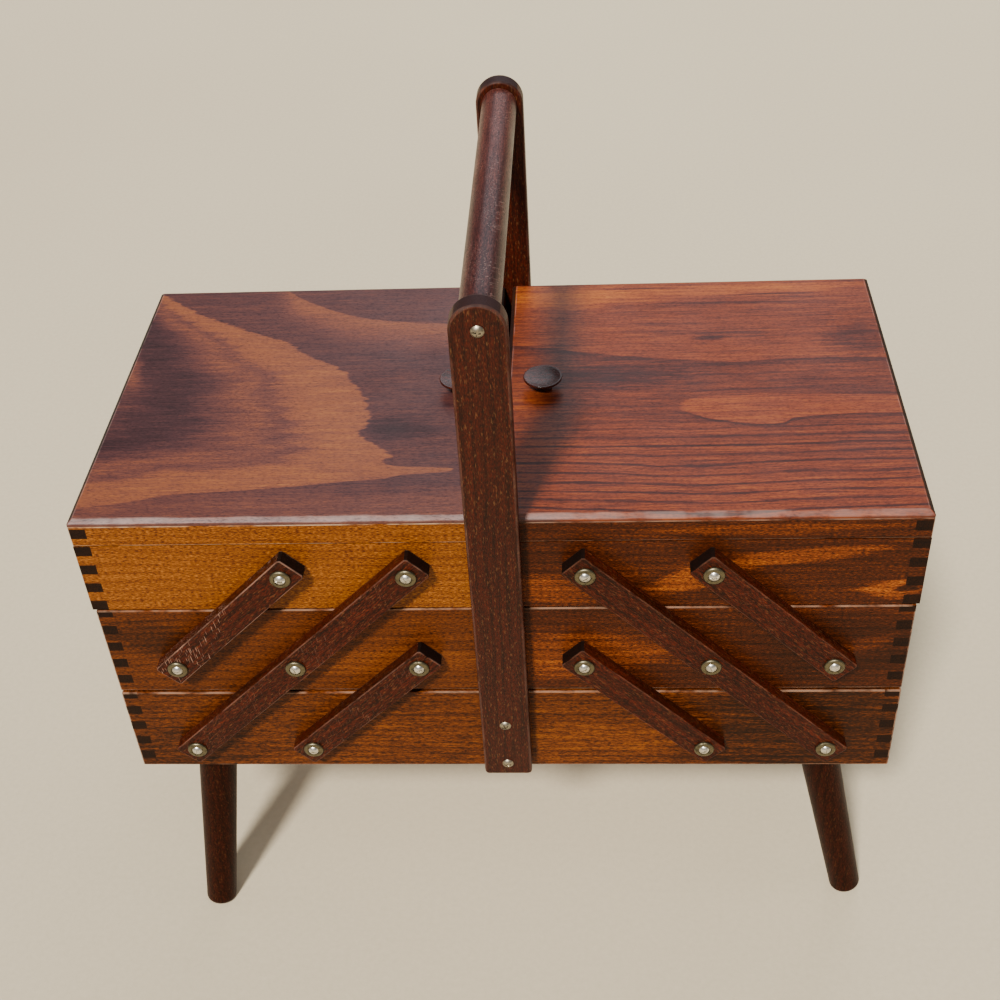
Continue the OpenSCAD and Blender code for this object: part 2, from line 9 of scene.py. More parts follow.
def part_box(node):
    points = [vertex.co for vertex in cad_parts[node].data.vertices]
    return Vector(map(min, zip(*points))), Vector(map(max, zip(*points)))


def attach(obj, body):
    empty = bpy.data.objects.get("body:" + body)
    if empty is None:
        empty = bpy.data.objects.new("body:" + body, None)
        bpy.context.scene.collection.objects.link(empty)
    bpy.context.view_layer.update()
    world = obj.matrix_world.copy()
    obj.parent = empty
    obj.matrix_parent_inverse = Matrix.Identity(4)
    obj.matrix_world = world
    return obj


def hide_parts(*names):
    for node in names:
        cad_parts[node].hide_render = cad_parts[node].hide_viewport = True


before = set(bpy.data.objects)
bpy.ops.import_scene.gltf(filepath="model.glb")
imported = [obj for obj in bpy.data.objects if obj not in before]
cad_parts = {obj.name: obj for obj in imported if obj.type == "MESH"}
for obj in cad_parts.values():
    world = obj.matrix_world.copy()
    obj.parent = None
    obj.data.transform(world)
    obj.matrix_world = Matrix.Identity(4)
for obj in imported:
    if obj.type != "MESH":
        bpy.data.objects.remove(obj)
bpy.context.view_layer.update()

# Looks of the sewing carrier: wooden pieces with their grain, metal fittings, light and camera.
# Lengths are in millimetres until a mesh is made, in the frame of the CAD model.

MM = 0.001
TOUCH = 1e-3
WELD_M = 1e-6
SHARP = math.radians(40)
END_GRAIN = 0.6
X, Y, Z = range(3)
LEFT, RIGHT = -1, 1
FRONT, REAR = -1, 1
SIDES = ((LEFT, "left"), (RIGHT, "right"))
FACES = ((FRONT, "front"), (REAR, "rear"))

# Boards, finger joints and the lid panels' bevel, as in the CAD source
BOARD = 9.0
FINGER = 6.5
LID_FINGER = 5.0
LEAST_FINGER = 1.0
BEVEL_H = 2.2
BEVEL_W = 2.6

# Links and pivots on the right side, as in the CAD source
LEAN = math.radians(45)
LINK_W = 17.0
LINK_T = 8.5
LINK_END = 9.5
LINK_CLIP = 1.2
LINK_Y = 113.4
LINK_PITCH = 67.2 / math.sin(LEAN)
CUP_Y = 122.0
CUP_R = 5.6
CUP_H = 1.7
CUP_FLOOR = 0.6
PIVOTS = {
    "base": [(180.7, 153.0), (112.3, 153.0)],
    "middle": [(113.5, 220.2), (45.1, 220.2), (179.3, 220.2)],
    "top": [(46.3, 287.4), (112.1, 287.4)],
}

# Handle, legs, knobs and hinges, as in the CAD source
BAR_Z = 438.5
BAR_R = 10.0
BAR_HALF = 113.0
UPRIGHT_W = 27.2
UPRIGHT_CORNER = 2.4
UPRIGHT_FACE = 123.4
UPRIGHT_SCREWS = (141.9, 174.4)
LEG_AXIS = (181.0, 84.0, 128.0)
LEG_TOP_R = 12.0
LEG_FOOT_R = 9.4
LEG_TOP_Z = 120.0
LEG_SPLAY = math.radians(15)
FOOT_ROUND = 4.0
FOOT_CUT = 2.5
KNOB_X = 23.6
ROOF_Z = 319.8
HINGE_Y = 62.0
TRAY_LEAF_Z = 302.3
LID_LEAF_Z = 302.8

# Widths of the rounded edges, which the CAD solids leave sharp
BASE_EDGE = 0.9
MIDDLE_EDGE = 0.8
TOP_EDGE = 0.7
RIM_EDGE = 0.5
INNER_EDGE = 0.4
PANEL_EDGE = 0.45
LINK_EDGE = 0.55
UPRIGHT_EDGE = 1.3
BAR_EDGE = 0.7
BOTTOM_EDGE = 0.3
BLOCK_EDGE = 0.8
LEAF_EDGE = 0.12


# Meshes

def blank():
    """Empty bmesh with the marks that the materials read."""
    bm = bmesh.new()
    for mark_name in ("wear_and_highlight", "end_grain"):
        bm.faces.layers.float.new(mark_name)
    return bm


def spot(axis, a, b, depth):
    """Point with the outline's coordinates a and b, at a depth along axis."""
    return {X: (depth, a, b), Y: (a, depth, b), Z: (a, b, depth)}[axis]


def prism(outline, axis, low, high):
    """Solid of an outline between two depths along axis."""
    bm = blank()
    rings = [[bm.verts.new(spot(axis, a, b, d)) for a, b in outline] for d in (low, high)]
    for ring in rings:
        bm.faces.new(ring)
    for i in range(len(outline)):
        j = (i + 1) % len(outline)
        bm.faces.new((rings[0][i], rings[0][j], rings[1][j], rings[1][i]))
    bmesh.ops.recalc_face_normals(bm, faces=bm.faces)
    return bm


def lathe(profile, segments=64):
    """Solid turned about Z from (radius, height) points; radius 0 closes an end."""
    bm = blank()
    rings = []
    for r, z in profile:
        count = segments if r else 1
        turns = [2 * math.pi * i / segments for i in range(count)]
        rings.append([bm.verts.new((r * math.cos(t), r * math.sin(t), z)) for t in turns])
    for low, high in zip(rings, rings[1:] + rings[:1]):
        if len(low) == len(high) == 1:
            continue
        for i in range(segments):
            j = (i + 1) % segments
            places = ((low, i), (low, j), (high, j), (high, i))
            corners = [ring[k % len(ring)] for ring, k in places]
            bm.faces.new(list(dict.fromkeys(corners)))
    bmesh.ops.recalc_face_normals(bm, faces=bm.faces)
    return bm


def arc(start, end, steps):
    """Angles in radians from start to end, both in degrees."""
    return [math.radians(start + (end - start) * i / steps) for i in range(steps + 1)]


def mark(bm, layer_name, faces, amount=1.0):
    """Sets one of the marks on some faces."""
    layer = bm.faces.layers.float[layer_name]
    for face in faces:
        face[layer] = amount


def rounded(bm, edges, width, segments):
    """Rounds the edges and marks the new faces as worn."""
    made = bmesh.ops.bevel(
        bm, geom=edges, offset=width, offset_type="OFFSET", segments=segments,
        profile=0.5, affect="EDGES", clamp_overlap=True,
    )
    mark(bm, "wear_and_highlight", made["faces"])


def round_lines(bm, width, lines, segments=2):
    """Rounds the edges that lie on one of the lines, each {axis: place}."""
    def on_line(edge):
        return any(
            all(abs(v.co[axis] - place) < TOUCH for v in edge.verts for axis, place in line.items())
            for line in lines
        )
    rounded(bm, [e for e in bm.edges if on_line(e)], width, segments)


def round_sharp(bm, width, segments=2, least=30.0):
    """Rounds every edge whose faces meet at more than the least angle, in degrees."""
    edges = [e for e in bm.edges if e.calc_face_angle(0) > math.radians(least)]
    rounded(bm, edges, width, segments)


def turned(bm, matrix):
    """bm moved by the matrix, with its faces outwards also after a mirroring."""
    bmesh.ops.transform(bm, matrix=matrix, verts=bm.verts)
    if matrix.determinant() < 0:
        bmesh.ops.reverse_faces(bm, faces=bm.faces)
    return bm


def as_mesh(name, bm):
    """Mesh of a bmesh, which is freed."""
    mesh = bpy.data.meshes.new(name)
    bm.to_mesh(mesh)
    bm.free()
    return mesh


def placed(name, data):
    """New object in the scene."""
    made = bpy.data.objects.new(name, data)
    bpy.context.scene.collection.objects.link(made)
    return made


def flat_faces(made):
    """Modifier that keeps large faces flat beside rounded edges."""
    made.modifiers.new("flat faces", "WEIGHTED_NORMAL").keep_sharp = True


def joined(parts):
    """One bmesh of several."""
    whole = blank()
    for part in parts:
        mesh = as_mesh("part", part)
        whole.from_mesh(mesh)
        bpy.data.meshes.remove(mesh)
    return whole


def copies(template, matrices):
    """One bmesh with the template at each of the matrices."""
    return joined([turned(template.copy(), m) for m in matrices])


def piece(node, bm, body, material, grain=None, extra=False):
    """Makes bm a piece that rides on a body, in place of a CAD node unless it is extra.

    The faces across the direction grain get the mark of end grain."""
    if grain is not None:
        mark(bm, "end_grain", [f for f in bm.faces if abs(f.normal.dot(grain)) > END_GRAIN])
    bmesh.ops.scale(bm, vec=(MM, MM, MM), verts=bm.verts)
    name = node if extra else node + "_look"
    mesh = as_mesh(name, bm)
    mesh.materials.append(material)
    mesh.shade_smooth()
    mesh.set_sharp_from_angle(angle=SHARP)
    made = placed(name, mesh)
    flat_faces(made)
    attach(made, body)
    if not extra:
        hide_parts(node)


def cut(bm, cutter):
    """bm with the closed cutter taken out of it."""
    whole, tool = (placed("cut", as_mesh("cut", part)) for part in (bm, cutter))
    boolean = whole.modifiers.new("cut", "BOOLEAN")
    boolean.operation = "DIFFERENCE"
    boolean.solver = "EXACT"
    boolean.object = tool
    result = bmesh.new()
    result.from_object(whole, bpy.context.evaluated_depsgraph_get())
    for made in (whole, tool):
        mesh = made.data
        bpy.data.objects.remove(made)
        bpy.data.meshes.remove(mesh)
    return result


def notch(spans, floor):
    """Cutter with three spans that stands on the height floor."""
    cutter = bmesh.new()
    bmesh.ops.create_cube(cutter, size=1.0)
    bmesh.ops.scale(cutter, vec=spans, verts=cutter.verts)
    bmesh.ops.translate(cutter, vec=(0, 0, floor + spans[Z] / 2), verts=cutter.verts)
    return cutter


# Shader nodes

def paint(code):
    """Linear colour of a hexadecimal sRGB code."""
    shares = [int(code[i:i + 2], 16) / 255 for i in (0, 2, 4)]
    linear = [c / 12.92 if c <= 0.04045 else ((c + 0.055) / 1.055) ** 2.4 for c in shares]
    return (*linear, 1.0)


def set_inputs(node, values):
    """Sets sockets of a node, by their names, to constants."""
    for socket, value in values.items():
        node.inputs[socket].default_value = value


class Look:
    """One material under construction. Its methods add nodes and return their sockets."""

    def __init__(self, name, roughness, metallic=0.0, specular=0.5):
        self.material = bpy.data.materials.new(name)
        self.material.use_nodes = True
        self.tree = self.material.node_tree
        self.shader = self.tree.nodes["Principled BSDF"]
        set_inputs(self.shader, {
            "Roughness": roughness, "Metallic": metallic, "Specular IOR Level": specular,
        })
        self.place = self.node("ShaderNodeTexCoord").outputs["Object"]

    def node(self, kind, **settings):
        made = self.tree.nodes.new(kind)
        for name, value in settings.items():
            setattr(made, name, value)
        return made

    def join(self, value, socket):
        """Links a socket's value to the socket, or sets it to a constant."""
        if isinstance(value, bpy.types.NodeSocket):
            self.tree.links.new(value, socket)
        else:
            socket.default_value = value

    def math(self, operation, a, b=0.0, c=0.0):
        made = self.node("ShaderNodeMath", operation=operation)
        for value, socket in zip((a, b, c), made.inputs):
            self.join(value, socket)
        return made.outputs[0]

    def add(self, *terms):
        total = terms[0]
        for term in terms[1:]:
            total = self.math("ADD", total, term)
        return total

    def less(self, a, b):
        return self.math("SUBTRACT", a, b)

    def times(self, a, b):
        return self.math("MULTIPLY", a, b)

    def vector(self, x, y, z):
        made = self.node("ShaderNodeCombineXYZ")
        for value, socket in zip((x, y, z), made.inputs):
            self.join(value, socket)
        return made.outputs[0]

    def split(self, vector):
        made = self.node("ShaderNodeSeparateXYZ")
        self.join(vector, made.inputs[0])
        return made.outputs[:]

    def mapped(self, vector, scale=(1, 1, 1), turn=(0, 0, 0), shift=(0, 0, 0)):
        made = self.node("ShaderNodeMapping")
        self.join(vector, made.inputs["Vector"])
        set_inputs(made, {"Scale": scale, "Rotation": turn, "Location": shift})
        return made.outputs[0]

    def noise(self, vector, scale, detail=2.0, rough=0.5, shift=(0, 0, 0)):
        """Noise from 0 to 1 around a half, with scale in cycles per unit along each axis."""
        made = self.node("ShaderNodeTexNoise")
        self.join(self.mapped(vector, scale=scale, shift=shift), made.inputs["Vector"])
        set_inputs(made, {"Scale": 1.0, "Detail": detail, "Roughness": rough})
        return made.outputs["Fac"]

    def centred(self, value, amount):
        """Noise around a half turned into a change of up to about amount."""
        return self.times(self.less(value, 0.5), amount)

    def rise(self, value, low, high):
        """0 below low, 1 above high, and smooth between them."""
        made = self.node("ShaderNodeMapRange", interpolation_type="SMOOTHSTEP")
        self.join(value, made.inputs["Value"])
        set_inputs(made, {"From Min": low, "From Max": high})
        return made.outputs[0]

    def fall(self, value, low, high):
        """1 below low, 0 above high, and smooth between them."""
        return self.less(1.0, self.rise(value, low, high))

    def mix(self, share, a, b):
        """Colour a with a share of colour b."""
        made = self.node("ShaderNodeMix", data_type="RGBA")
        for value, index in ((share, 0), (a, 6), (b, 7)):
            self.join(value, made.inputs[index])
        return made.outputs[2]

    def ramp(self, value, stops):
        """Colour between the (place, hexadecimal code) stops."""
        made = self.node("ShaderNodeValToRGB")
        self.join(value, made.inputs[0])
        marks = made.color_ramp.elements
        while len(marks) < len(stops):
            marks.new(0.5)
        for element, (place, code) in zip(marks, stops):
            element.position = place
            element.color = paint(code)
        return made.outputs[0]

    def curve(self, value, points):
        """Smooth curve through (input, output) points, level beyond its ends."""
        points = sorted(points)
        lows = [min(point[i] for point in points) for i in (0, 1)]
        spans = [max(point[i] for point in points) - lows[i] for i in (0, 1)]
        made = self.node("ShaderNodeFloatCurve")
        marks = made.mapping.curves[0].points
        while len(marks) < len(points):
            marks.new(0.5, 0.5)
        for knot, (a, b) in zip(marks, points):
            knot.location = ((a - lows[0]) / spans[0], (b - lows[1]) / spans[1])
        made.mapping.update()
        share = self.times(self.less(value, lows[0]), 1 / spans[0])
        self.join(share, made.inputs["Value"])
        return self.add(self.times(made.outputs[0], spans[1]), lows[1])

    def marked(self, layer_name):
        return self.node("ShaderNodeAttribute", attribute_name=layer_name).outputs["Fac"]

    def finish(self, colour, height, depth, roughness=None):
        """Joins colour, roughness and a bump whose height is in shares of depth millimetres."""
        self.join(colour, self.shader.inputs["Base Color"])
        if roughness is not None:
            self.join(roughness, self.shader.inputs["Roughness"])
        bump = self.node("ShaderNodeBump")
        set_inputs(bump, {"Strength": 1.0, "Distance": depth * MM})
        self.join(height, bump.inputs["Height"])
        self.join(bump.outputs[0], self.shader.inputs["Normal"])
        return self.material


# Wood

# Noise of the woods, in cycles per mm along the fibres and in both directions across
CLOUDS = (0.005, 0.03, 0.03)
STREAKS = (0.014, 0.3, 0.3)
FIBRES = (0.03, 0.5, 0.5)
THREADS = (0.05, 1.2, 1.2)
DASHES = (0.46, 1.8, 1.8)
SPECKS = (0.3, 1.4, 1.4)
SCRATCHES = (0.12, 1.6, 2.2)
SCRATCHED_AREAS = (0.03, 0.06, 0.06)
WEAR_AND_HIGHLIGHT_AREAS = (0.05, 0.09, 0.09)
WARP = (0.014, 0.035, 0.035)
WANDER = (0.006, 0.02, 0.02)
# Noise of the gloss, in cycles per metre, and the depth of the relief
SHEEN_PER_M = (30, 30, 30)
WOOD_RELIEF = 0.05

# Growth lines of a plain board, in mm, its warp and how far fibres move a patch's edge
RING_PITCH = 5.2
RING_DEPTH = 0.1
RING_LEAN = 0.02
RING_WANDER = 22.0
BOARD_WARP = 9.0
FEATHER = 1.3


def patch(look, along, across, feather, centre, radii, slope=0.0, soft=0.5):
    """1 inside an oval on the board's face and 0 outside, with an edge moved by the feather."""
    a = look.less(along, centre[0])
    b = look.less(look.add(across, look.times(a, -slope)), centre[1])
    a, b = look.times(a, 1 / radii[0]), look.times(b, 1 / radii[1])
    reach = look.math("SQRT", look.add(look.times(a, a), look.times(b, b)))
    return look.fall(look.add(reach, feather), 1 - soft, 1)


def warped(look, place, along, across, amount):
    """Both coordinates moved by soft noise of up to about amount mm."""
    a = look.noise(place, WARP, shift=(4, 4, 4))
    b = look.noise(place, WARP, shift=(9, 1, 6))
    return look.add(along, look.centred(a, 4 * amount)), look.add(across, look.centred(b, amount))


def waves(look, level, pitch):
    """Sine of a level in mm that repeats at the pitch."""
    return look.math("SINE", look.times(level, 2 * math.pi / pitch))


def with_patches(look, total, a, b, feather, patches, soft=0.5):
    """The tone total with an amount added inside each oval: (centre, radii, slope, amount)."""
    for centre, radii, slope, amount in patches:
        share = patch(look, a, b, feather, centre, radii, slope, soft)
        total = look.add(total, look.times(share, amount))
    return total


def plain_figure(patches=()):
    """Tone of a board with growth lines and with oval patches."""
    def tone(look, place, along, across, fibres):
        a, b = warped(look, place, along, across, BOARD_WARP)
        wander = look.centred(look.noise(place, WANDER), RING_WANDER)
        level = look.add(across, look.times(along, RING_LEAN), wander, look.times(fibres, 1.6))
        rings = look.rise(waves(look, level, RING_PITCH), 0.1, 1)
        total = look.add(0.5, look.times(rings, -RING_DEPTH))
        return with_patches(look, total, a, b, look.times(fibres, FEATHER), patches)
    return tone


# Left lid, in mm: how far the light tongue reaches, and where it ends in front
TONGUE_TIP = (
    (108, -219), (83, -187), (67, -161), (58, -144), (51, -130), (36, -115), (22, -95), (8, -86),
    (-12, -75), (-27, -72), (-42, -75), (-51, -66), (-61, -57), (-67, -60), (-70, -50),
    (-73.5, -22), (-77, -48), (-80, -58), (-86, -62),
)
TONGUE_FLOOR = (
    (-223, -102), (-196, -98), (-169, -91.5), (-135, -89), (-107, -86), (-80, -82.5), (-59, -80.5),
    (-20, -78),
)
# Tone of the tongue from its edge, 0, to its heart, 1
TONGUE_DEPTHS = (
    (0.0, 0.66), (0.18, 0.68), (0.27, 0.58), (0.32, 0.44), (0.38, 0.53), (0.46, 0.44),
    (0.58, 0.22), (0.68, 0.14), (0.8, 0.24), (1.0, 0.46),
)
# Size of the tongue, its ragged edge and its clouds
TONGUE_LENGTH = 246.0
TONGUE_WIDTH = 78.0
TONGUE_TEETH = (0.03, 0.3, 0.3)
TONGUE_TOOTH = 15.0
TONGUE_CLOUDS = (0.012, 0.03, 0.03)
TONGUE_STREAKS = (0.014, 0.2, 0.2)
# Lighter band behind the tongue, and the strip along the front with a painted sheen
REAR_BAND = ((-142, 113), (-116, 91), (-82, 75), (-37, 68), (5, 64))
BAND_START = (-152, -128)
FRONT_SHEEN = (-100, -84)
# Ovals of the left lid: centre, radii, slope and amount
DARK_BLOT = ((-56, -38), (27, 15), 0, -0.2)
LIGHT_END = ((-219, 22), (10, 24), 0, 0.26)


def tongue_share(look, place, along, across, teeth):
    """1 inside the tongue and 0 outside, and the tone there."""
    tip = look.curve(across, TONGUE_TIP)
    inward = look.add(tip, teeth, look.times(along, -1))
    front = look.times(look.curve(along, TONGUE_FLOOR), -1)
    front = look.add(across, front, look.times(teeth, 0.16))
    inside = look.times(look.rise(inward, -0.8, 1.4), look.rise(front, -0.5, 0.7))
    share = look.math("DIVIDE", inward, look.add(tip, TONGUE_LENGTH))
    deep = look.math("SMOOTH_MIN", share, look.times(front, 1 / TONGUE_WIDTH), 0.2)
    soft = look.centred(look.noise(place, TONGUE_CLOUDS, 3), 0.2)
    streaks = look.centred(look.noise(place, TONGUE_STREAKS, 3, shift=(2, 1, 5)), 0.16)
    return inside, look.curve(look.add(deep, soft, streaks), TONGUE_DEPTHS)


def tongue_figure(look, place, along, across, fibres):
    """Tone of the left lid: a wide tongue of light wood that points to the middle of the box, with
    a painted sheen along the front.
    """
    teeth = look.noise(place, TONGUE_TEETH, 3, 0.6, shift=(6, 6, 2))
    teeth = look.centred(teeth, TONGUE_TOOTH)
    inside, inner = tongue_share(look, place, along, across, teeth)
    edge = look.add(look.curve(along, REAR_BAND), look.times(teeth, 0.2), look.times(across, -1))
    band = look.times(look.rise(edge, -0.6, 0.8), look.fall(edge, 3, 36))
    band = look.times(band, look.rise(along, *BAND_START))
    # Painted sheen: the strip along the front is lightened.
    front_sheen = look.times(look.fall(across, *FRONT_SHEEN), 0.16)
    outer = look.add(0.3, look.times(band, 0.3), front_sheen)
    a, b = warped(look, place, along, across, 8.0)
    outer = with_patches(look, outer, a, b, look.times(fibres, 1.4), [DARK_BLOT], 0.9)
    outside = look.less(1, inside)
    total = look.add(look.times(inside, inner), look.times(outside, outer))
    return with_patches(look, total, a, b, look.times(fibres, 1.2), [LIGHT_END], 0.8)


# Right lid, in mm: rear and front edge of the light lens, its ends and the dark line behind it
LENS_TOP = ((98, -20), (111, -12), (155, -9.5), (216, -12))
LENS_LOW = ((98, -22.5), (107, -28), (119, -33), (152, -37), (161, -32), (213, -29))
LENS_START = (97, 103)
LENS_RIM_START = (100, 112)
LENS_TEETH = (0.04, 0.35, 0.35)
LENS_TOOTH = 3
DARK_LINE = ((0, 44), (24, 40), (54, 33), (94, 27), (126, 23), (175, 25), (217, 24))
# Growth lines of the right lid: pitches, bow, and where they fade towards the rear
LINE_PITCH = 7.4
FINE_PITCH = 2.9
LINE_MIDDLE = 105
LINE_BOW = -0.035
LINE_WANDER = (0.007, 0.02, 0.02)
LINE_FADE = (-46, -36)
BROWN_START = (-44, -34)
# Ovals of the right lid: centre, radii, slope and amount
LID_SPOTS = (
    ((30, 96), (90, 20), 0.03, 0.3),
    ((150, 100), (110, 12), 0.03, 0.24),
    ((123, 47), (15, 5), 0, -0.26),
    ((123, 52), (44, 3), 0, -0.16),
    ((130, 85), (60, 2), 0, -0.24),
    ((80, 103), (60, 1.6), -0.03, -0.3),
    ((165, 94), (50, 1.6), 0.04, -0.3),
    ((208, 45), (28, 26), 0, -0.2),
    ((14, -10), (20, 60), 0, 0.12),
    ((66, 10), (66, 16), 0, -0.18),
)


def growth_lines(look, place, along, across, y):
    """Broad and fine growth lines of the right lid, from 0 to 1."""
    wander = look.centred(look.noise(place, LINE_WANDER), 13)
    bow = look.math("ABSOLUTE", look.less(along, LINE_MIDDLE))
    level = look.add(y, look.times(bow, LINE_BOW), wander)
    broad = look.rise(waves(look, level, LINE_PITCH), 0.5, 1)
    fine = look.times(look.rise(waves(look, level, FINE_PITCH), 0.3, 1), 0.35)
    fade = look.add(0.3, look.times(look.fall(across, *LINE_FADE), 0.7))
    return look.times(look.add(broad, fine), fade)


def lens_and_rim(look, along, y, teeth):
    """Change of tone in the light lens and in the dark rim in front of it."""
    top = look.less(look.curve(along, LENS_TOP), y)
    low = look.less(y, look.curve(along, LENS_LOW))
    lens = look.times(look.rise(top, -0.5, 1), look.rise(low, -0.5, 1))
    lens = look.times(lens, look.rise(look.add(along, teeth), *LENS_START))
    rim = look.times(look.fall(low, -0.5, 0.5), look.rise(low, -3, -0.6))
    rim = look.times(rim, look.rise(along, *LENS_RIM_START))
    return look.times(lens, 0.2), look.times(rim, -0.2)


def lens_figure(look, place, along, across, fibres):
    """Tone of the right lid: straight grain with a slim lens of light wood."""
    teeth = look.noise(place, LENS_TEETH, 3, 0.6, shift=(6, 6, 2))
    teeth = look.centred(teeth, LENS_TOOTH)
    y = look.add(across, teeth)
    total = look.add(
        look.add(0.46, look.times(growth_lines(look, place, along, across, y), -0.24)),
        *lens_and_rim(look, along, y, teeth),
    )
    edge = look.less(y, look.curve(along, DARK_LINE))
    line = look.times(look.fall(edge, -1, 0.8), look.rise(edge, -9, -1))
    brown = look.times(look.fall(edge, -1, 0.5), look.rise(across, *BROWN_START))
    total = look.add(total, look.times(line, -0.16), look.times(brown, -0.09))
    a, b = warped(look, place, along, across, 5.0)
    return with_patches(look, total, a, b, look.times(fibres, 1.2), LID_SPOTS, 0.85)


# Turns that lay X along the fibres, and those of the scratches against them
GRAIN_TURNS = {
    "x": (0, 0, 0),
    "y": (0, 0, math.radians(-90)),
    "z": (0, math.radians(90), 0),
    "left_link": (0, LEAN, 0),
    "right_link": (0, -LEAN, 0),
}
LINK_SCRATCHES = (0, math.radians(52), 0)
BAR_SCRATCHES = (0, math.radians(-44), math.radians(35))
# Shift of a figure from the front board to the rear board
REAR_SHIFT = 90.0


def grain_place(look, grain, shifted):
    """Place in mm with X along the fibres."""
    in_mm = look.mapped(look.place, scale=(1 / MM, 1 / MM, 1 / MM))
    place = look.mapped(in_mm, turn=GRAIN_TURNS[grain])
    along, y, z = look.split(place)
    if shifted:
        behind = look.math("GREATER_THAN", look.split(look.place)[Y], 0)
        along = look.add(along, look.times(behind, REAR_SHIFT))
        place = look.vector(along, y, z)
    return place, along, y, z


def scratched(look, place, turn):
    """1 on slanting scratches, which lie in some areas only."""
    slanted = look.mapped(place, turn=turn)
    lines = look.noise(slanted, SCRATCHES, 1, 0.5, shift=(2, 5, 7))
    areas = look.noise(place, SCRATCHED_AREAS, 1)
    return look.times(look.rise(lines, 0.63, 0.71), look.rise(areas, 0.42, 0.56))


def wear_and_highlight_share(look, place, wear_and_highlight):
    """Share of wear and painted highlight on the rounded edges, in patches."""
    areas = look.noise(place, WEAR_AND_HIGHLIGHT_AREAS, 3, 0.6, shift=(1, 4, 2))
    return look.times(look.times(look.marked("wear_and_highlight"), look.rise(areas, 0.34, 0.6)), wear_and_highlight)


def wood(
    name, tones, grain="x", figure=plain_figure(), broad=0.2, streak=0.3, fine=0.4, dash=1.15,
    pore=0.6, pore_tone="1c0802", speck=0.0, speck_tone="8a5530", wear_and_highlight_tone="b08a70", wear_and_highlight=0.5,
    end="070301", roughness=0.42, specular=0.14, scratch=0.0, scratch_turn=LINK_SCRATCHES,
    level=False, shifted=False,
):
    """Varnished wood; level turns its figure to level faces, shifted moves it at the rear."""
    look = Look(name, roughness, specular=specular)
    place, along, y, z = grain_place(look, grain, shifted)
    fibres = look.less(look.noise(place, FIBRES, 3, 0.6), 0.5)
    dashes = look.noise(place, DASHES, rough=0.6, shift=(5, 2, 9))
    tone = look.add(
        figure(look, place, along, y if level else z, fibres),
        look.centred(look.noise(place, CLOUDS, shift=(3, 7, 1)), broad),
        look.centred(look.noise(place, STREAKS, 4, 0.7), streak),
        look.centred(look.noise(place, THREADS, rough=0.6, shift=(7, 3, 3)), fine),
        look.centred(dashes, -dash),
    )
    pores = look.rise(dashes, 0.52, 0.66)
    layers = [(look.times(pores, pore), pore_tone)]
    if speck:
        specks = look.rise(look.noise(place, SPECKS, rough=0.6, shift=(8, 8, 3)), 0.58, 0.7)
        layers.append((look.times(specks, speck), speck_tone))
    if scratch:
        layers.append((look.times(scratched(look, place, scratch_turn), scratch), wear_and_highlight_tone))
    ends = look.marked("end_grain")
    # The pale tone on marked edges is real wear, and a painted highlight where the mark is raised.
    layers += [(look.times(ends, 0.9), end), (wear_and_highlight_share(look, place, wear_and_highlight), wear_and_highlight_tone)]
    colour = look.ramp(tone, tones)
    for share, code in layers:
        colour = look.mix(share, colour, paint(code))
    sheen = look.centred(look.noise(look.place, SHEEN_PER_M, 3), 0.16)
    gloss = look.add(roughness, sheen, look.times(pores, 0.08), look.times(ends, 0.2))
    height = look.add(look.times(dashes, -0.7), look.times(fibres, 0.6))
    return look.finish(colour, height, WOOD_RELIEF, gloss)


# Tones of the woods, from the darkest to the lightest
DEEP = [(0, "0a0200"), (0.35, "220801"), (0.65, "421305"), (1, "6e260c")]
GOLD = [(0, "381604"), (0.3, "643008"), (0.6, "8c4f12"), (1, "b8762a")]
AMBER = [(0, "160700"), (0.3, "381602"), (0.6, "642e08"), (1, "925012")]
RUSSET = [(0, "120500"), (0.3, "2a0f02"), (0.55, "451b06"), (0.8, "78360c"), (1, "a45a16")]
PLUM = [(0, "200e10"), (0.25, "3e2122"), (0.5, "5f342a"), (0.75, "80482a"), (1, "9c6232")]
ROSE = [(0, "200806"), (0.25, "42160a"), (0.5, "702e10"), (0.75, "944a12"), (1, "aa6412")]
DARK = [(0, "060100"), (0.35, "180500"), (0.65, "300e04"), (1, "501c0a")]
BAR_TONES = [(0, "160708"), (0.4, "341412"), (0.7, "52261e"), (1, "80483a")]
PLY = [(0, "4c2c12"), (0.4, "7a5026"), (0.7, "9a6c38"), (1, "b88a50")]

# Ovals of lighter and darker wood, in mm: centre, radii, slope and amount. On the base and middle
# trays, the broad dark oval at the right end is a painted shadow.
FLAMES = (
    ((99, 275), (26, 9), 0.2, 0.34),
    ((148, 290), (72, 5.2), 0.13, 0.28),
    ((60, 281), (52, 5), 0.1, 0.05),
    ((207, 269), (20, 9), 0, 0.34),
    ((214, 269), (9, 3.6), 0, -0.46),
    ((24, 268), (40, 14), 0, 0.22),
    ((140, 309), (90, 4.5), 0.03, 0.16),
)
BASE_PATCHES_AND_SHADOW = (
    ((50, 152), (60, 18), 0, 0.12),
    ((-60, 160), (100, 24), 0, 0.04),
    # Painted shadow: a broad dark oval over the right end of the base.
    ((170, 165), (80, 56), 0, -0.26),
    ((-200, 140), (70, 30), 0, -0.1),
)
MIDDLE_PATCHES_AND_SHADOW = (
    ((40, 222), (74, 20), 0, 0.2),
    ((18, 205), (34, 12), 0, 0.16),
    # Painted shadow: a broad dark oval over the right end of the middle tray.
    ((186, 225), (60, 34), 0, -0.12),
    ((196, 226), (22, 7), 0.3, 0.16),
)
LEFT_MIDDLE_PATCHES = (
    ((-190, 236), (34, 18), 0, -0.18),
    ((-60, 215), (60, 14), 0, 0.16),
)


def by_slot(*materials):
    """Materials by their names, with underscores in place of spaces."""
    return {material.name.replace(" ", "_"): material for material in materials}


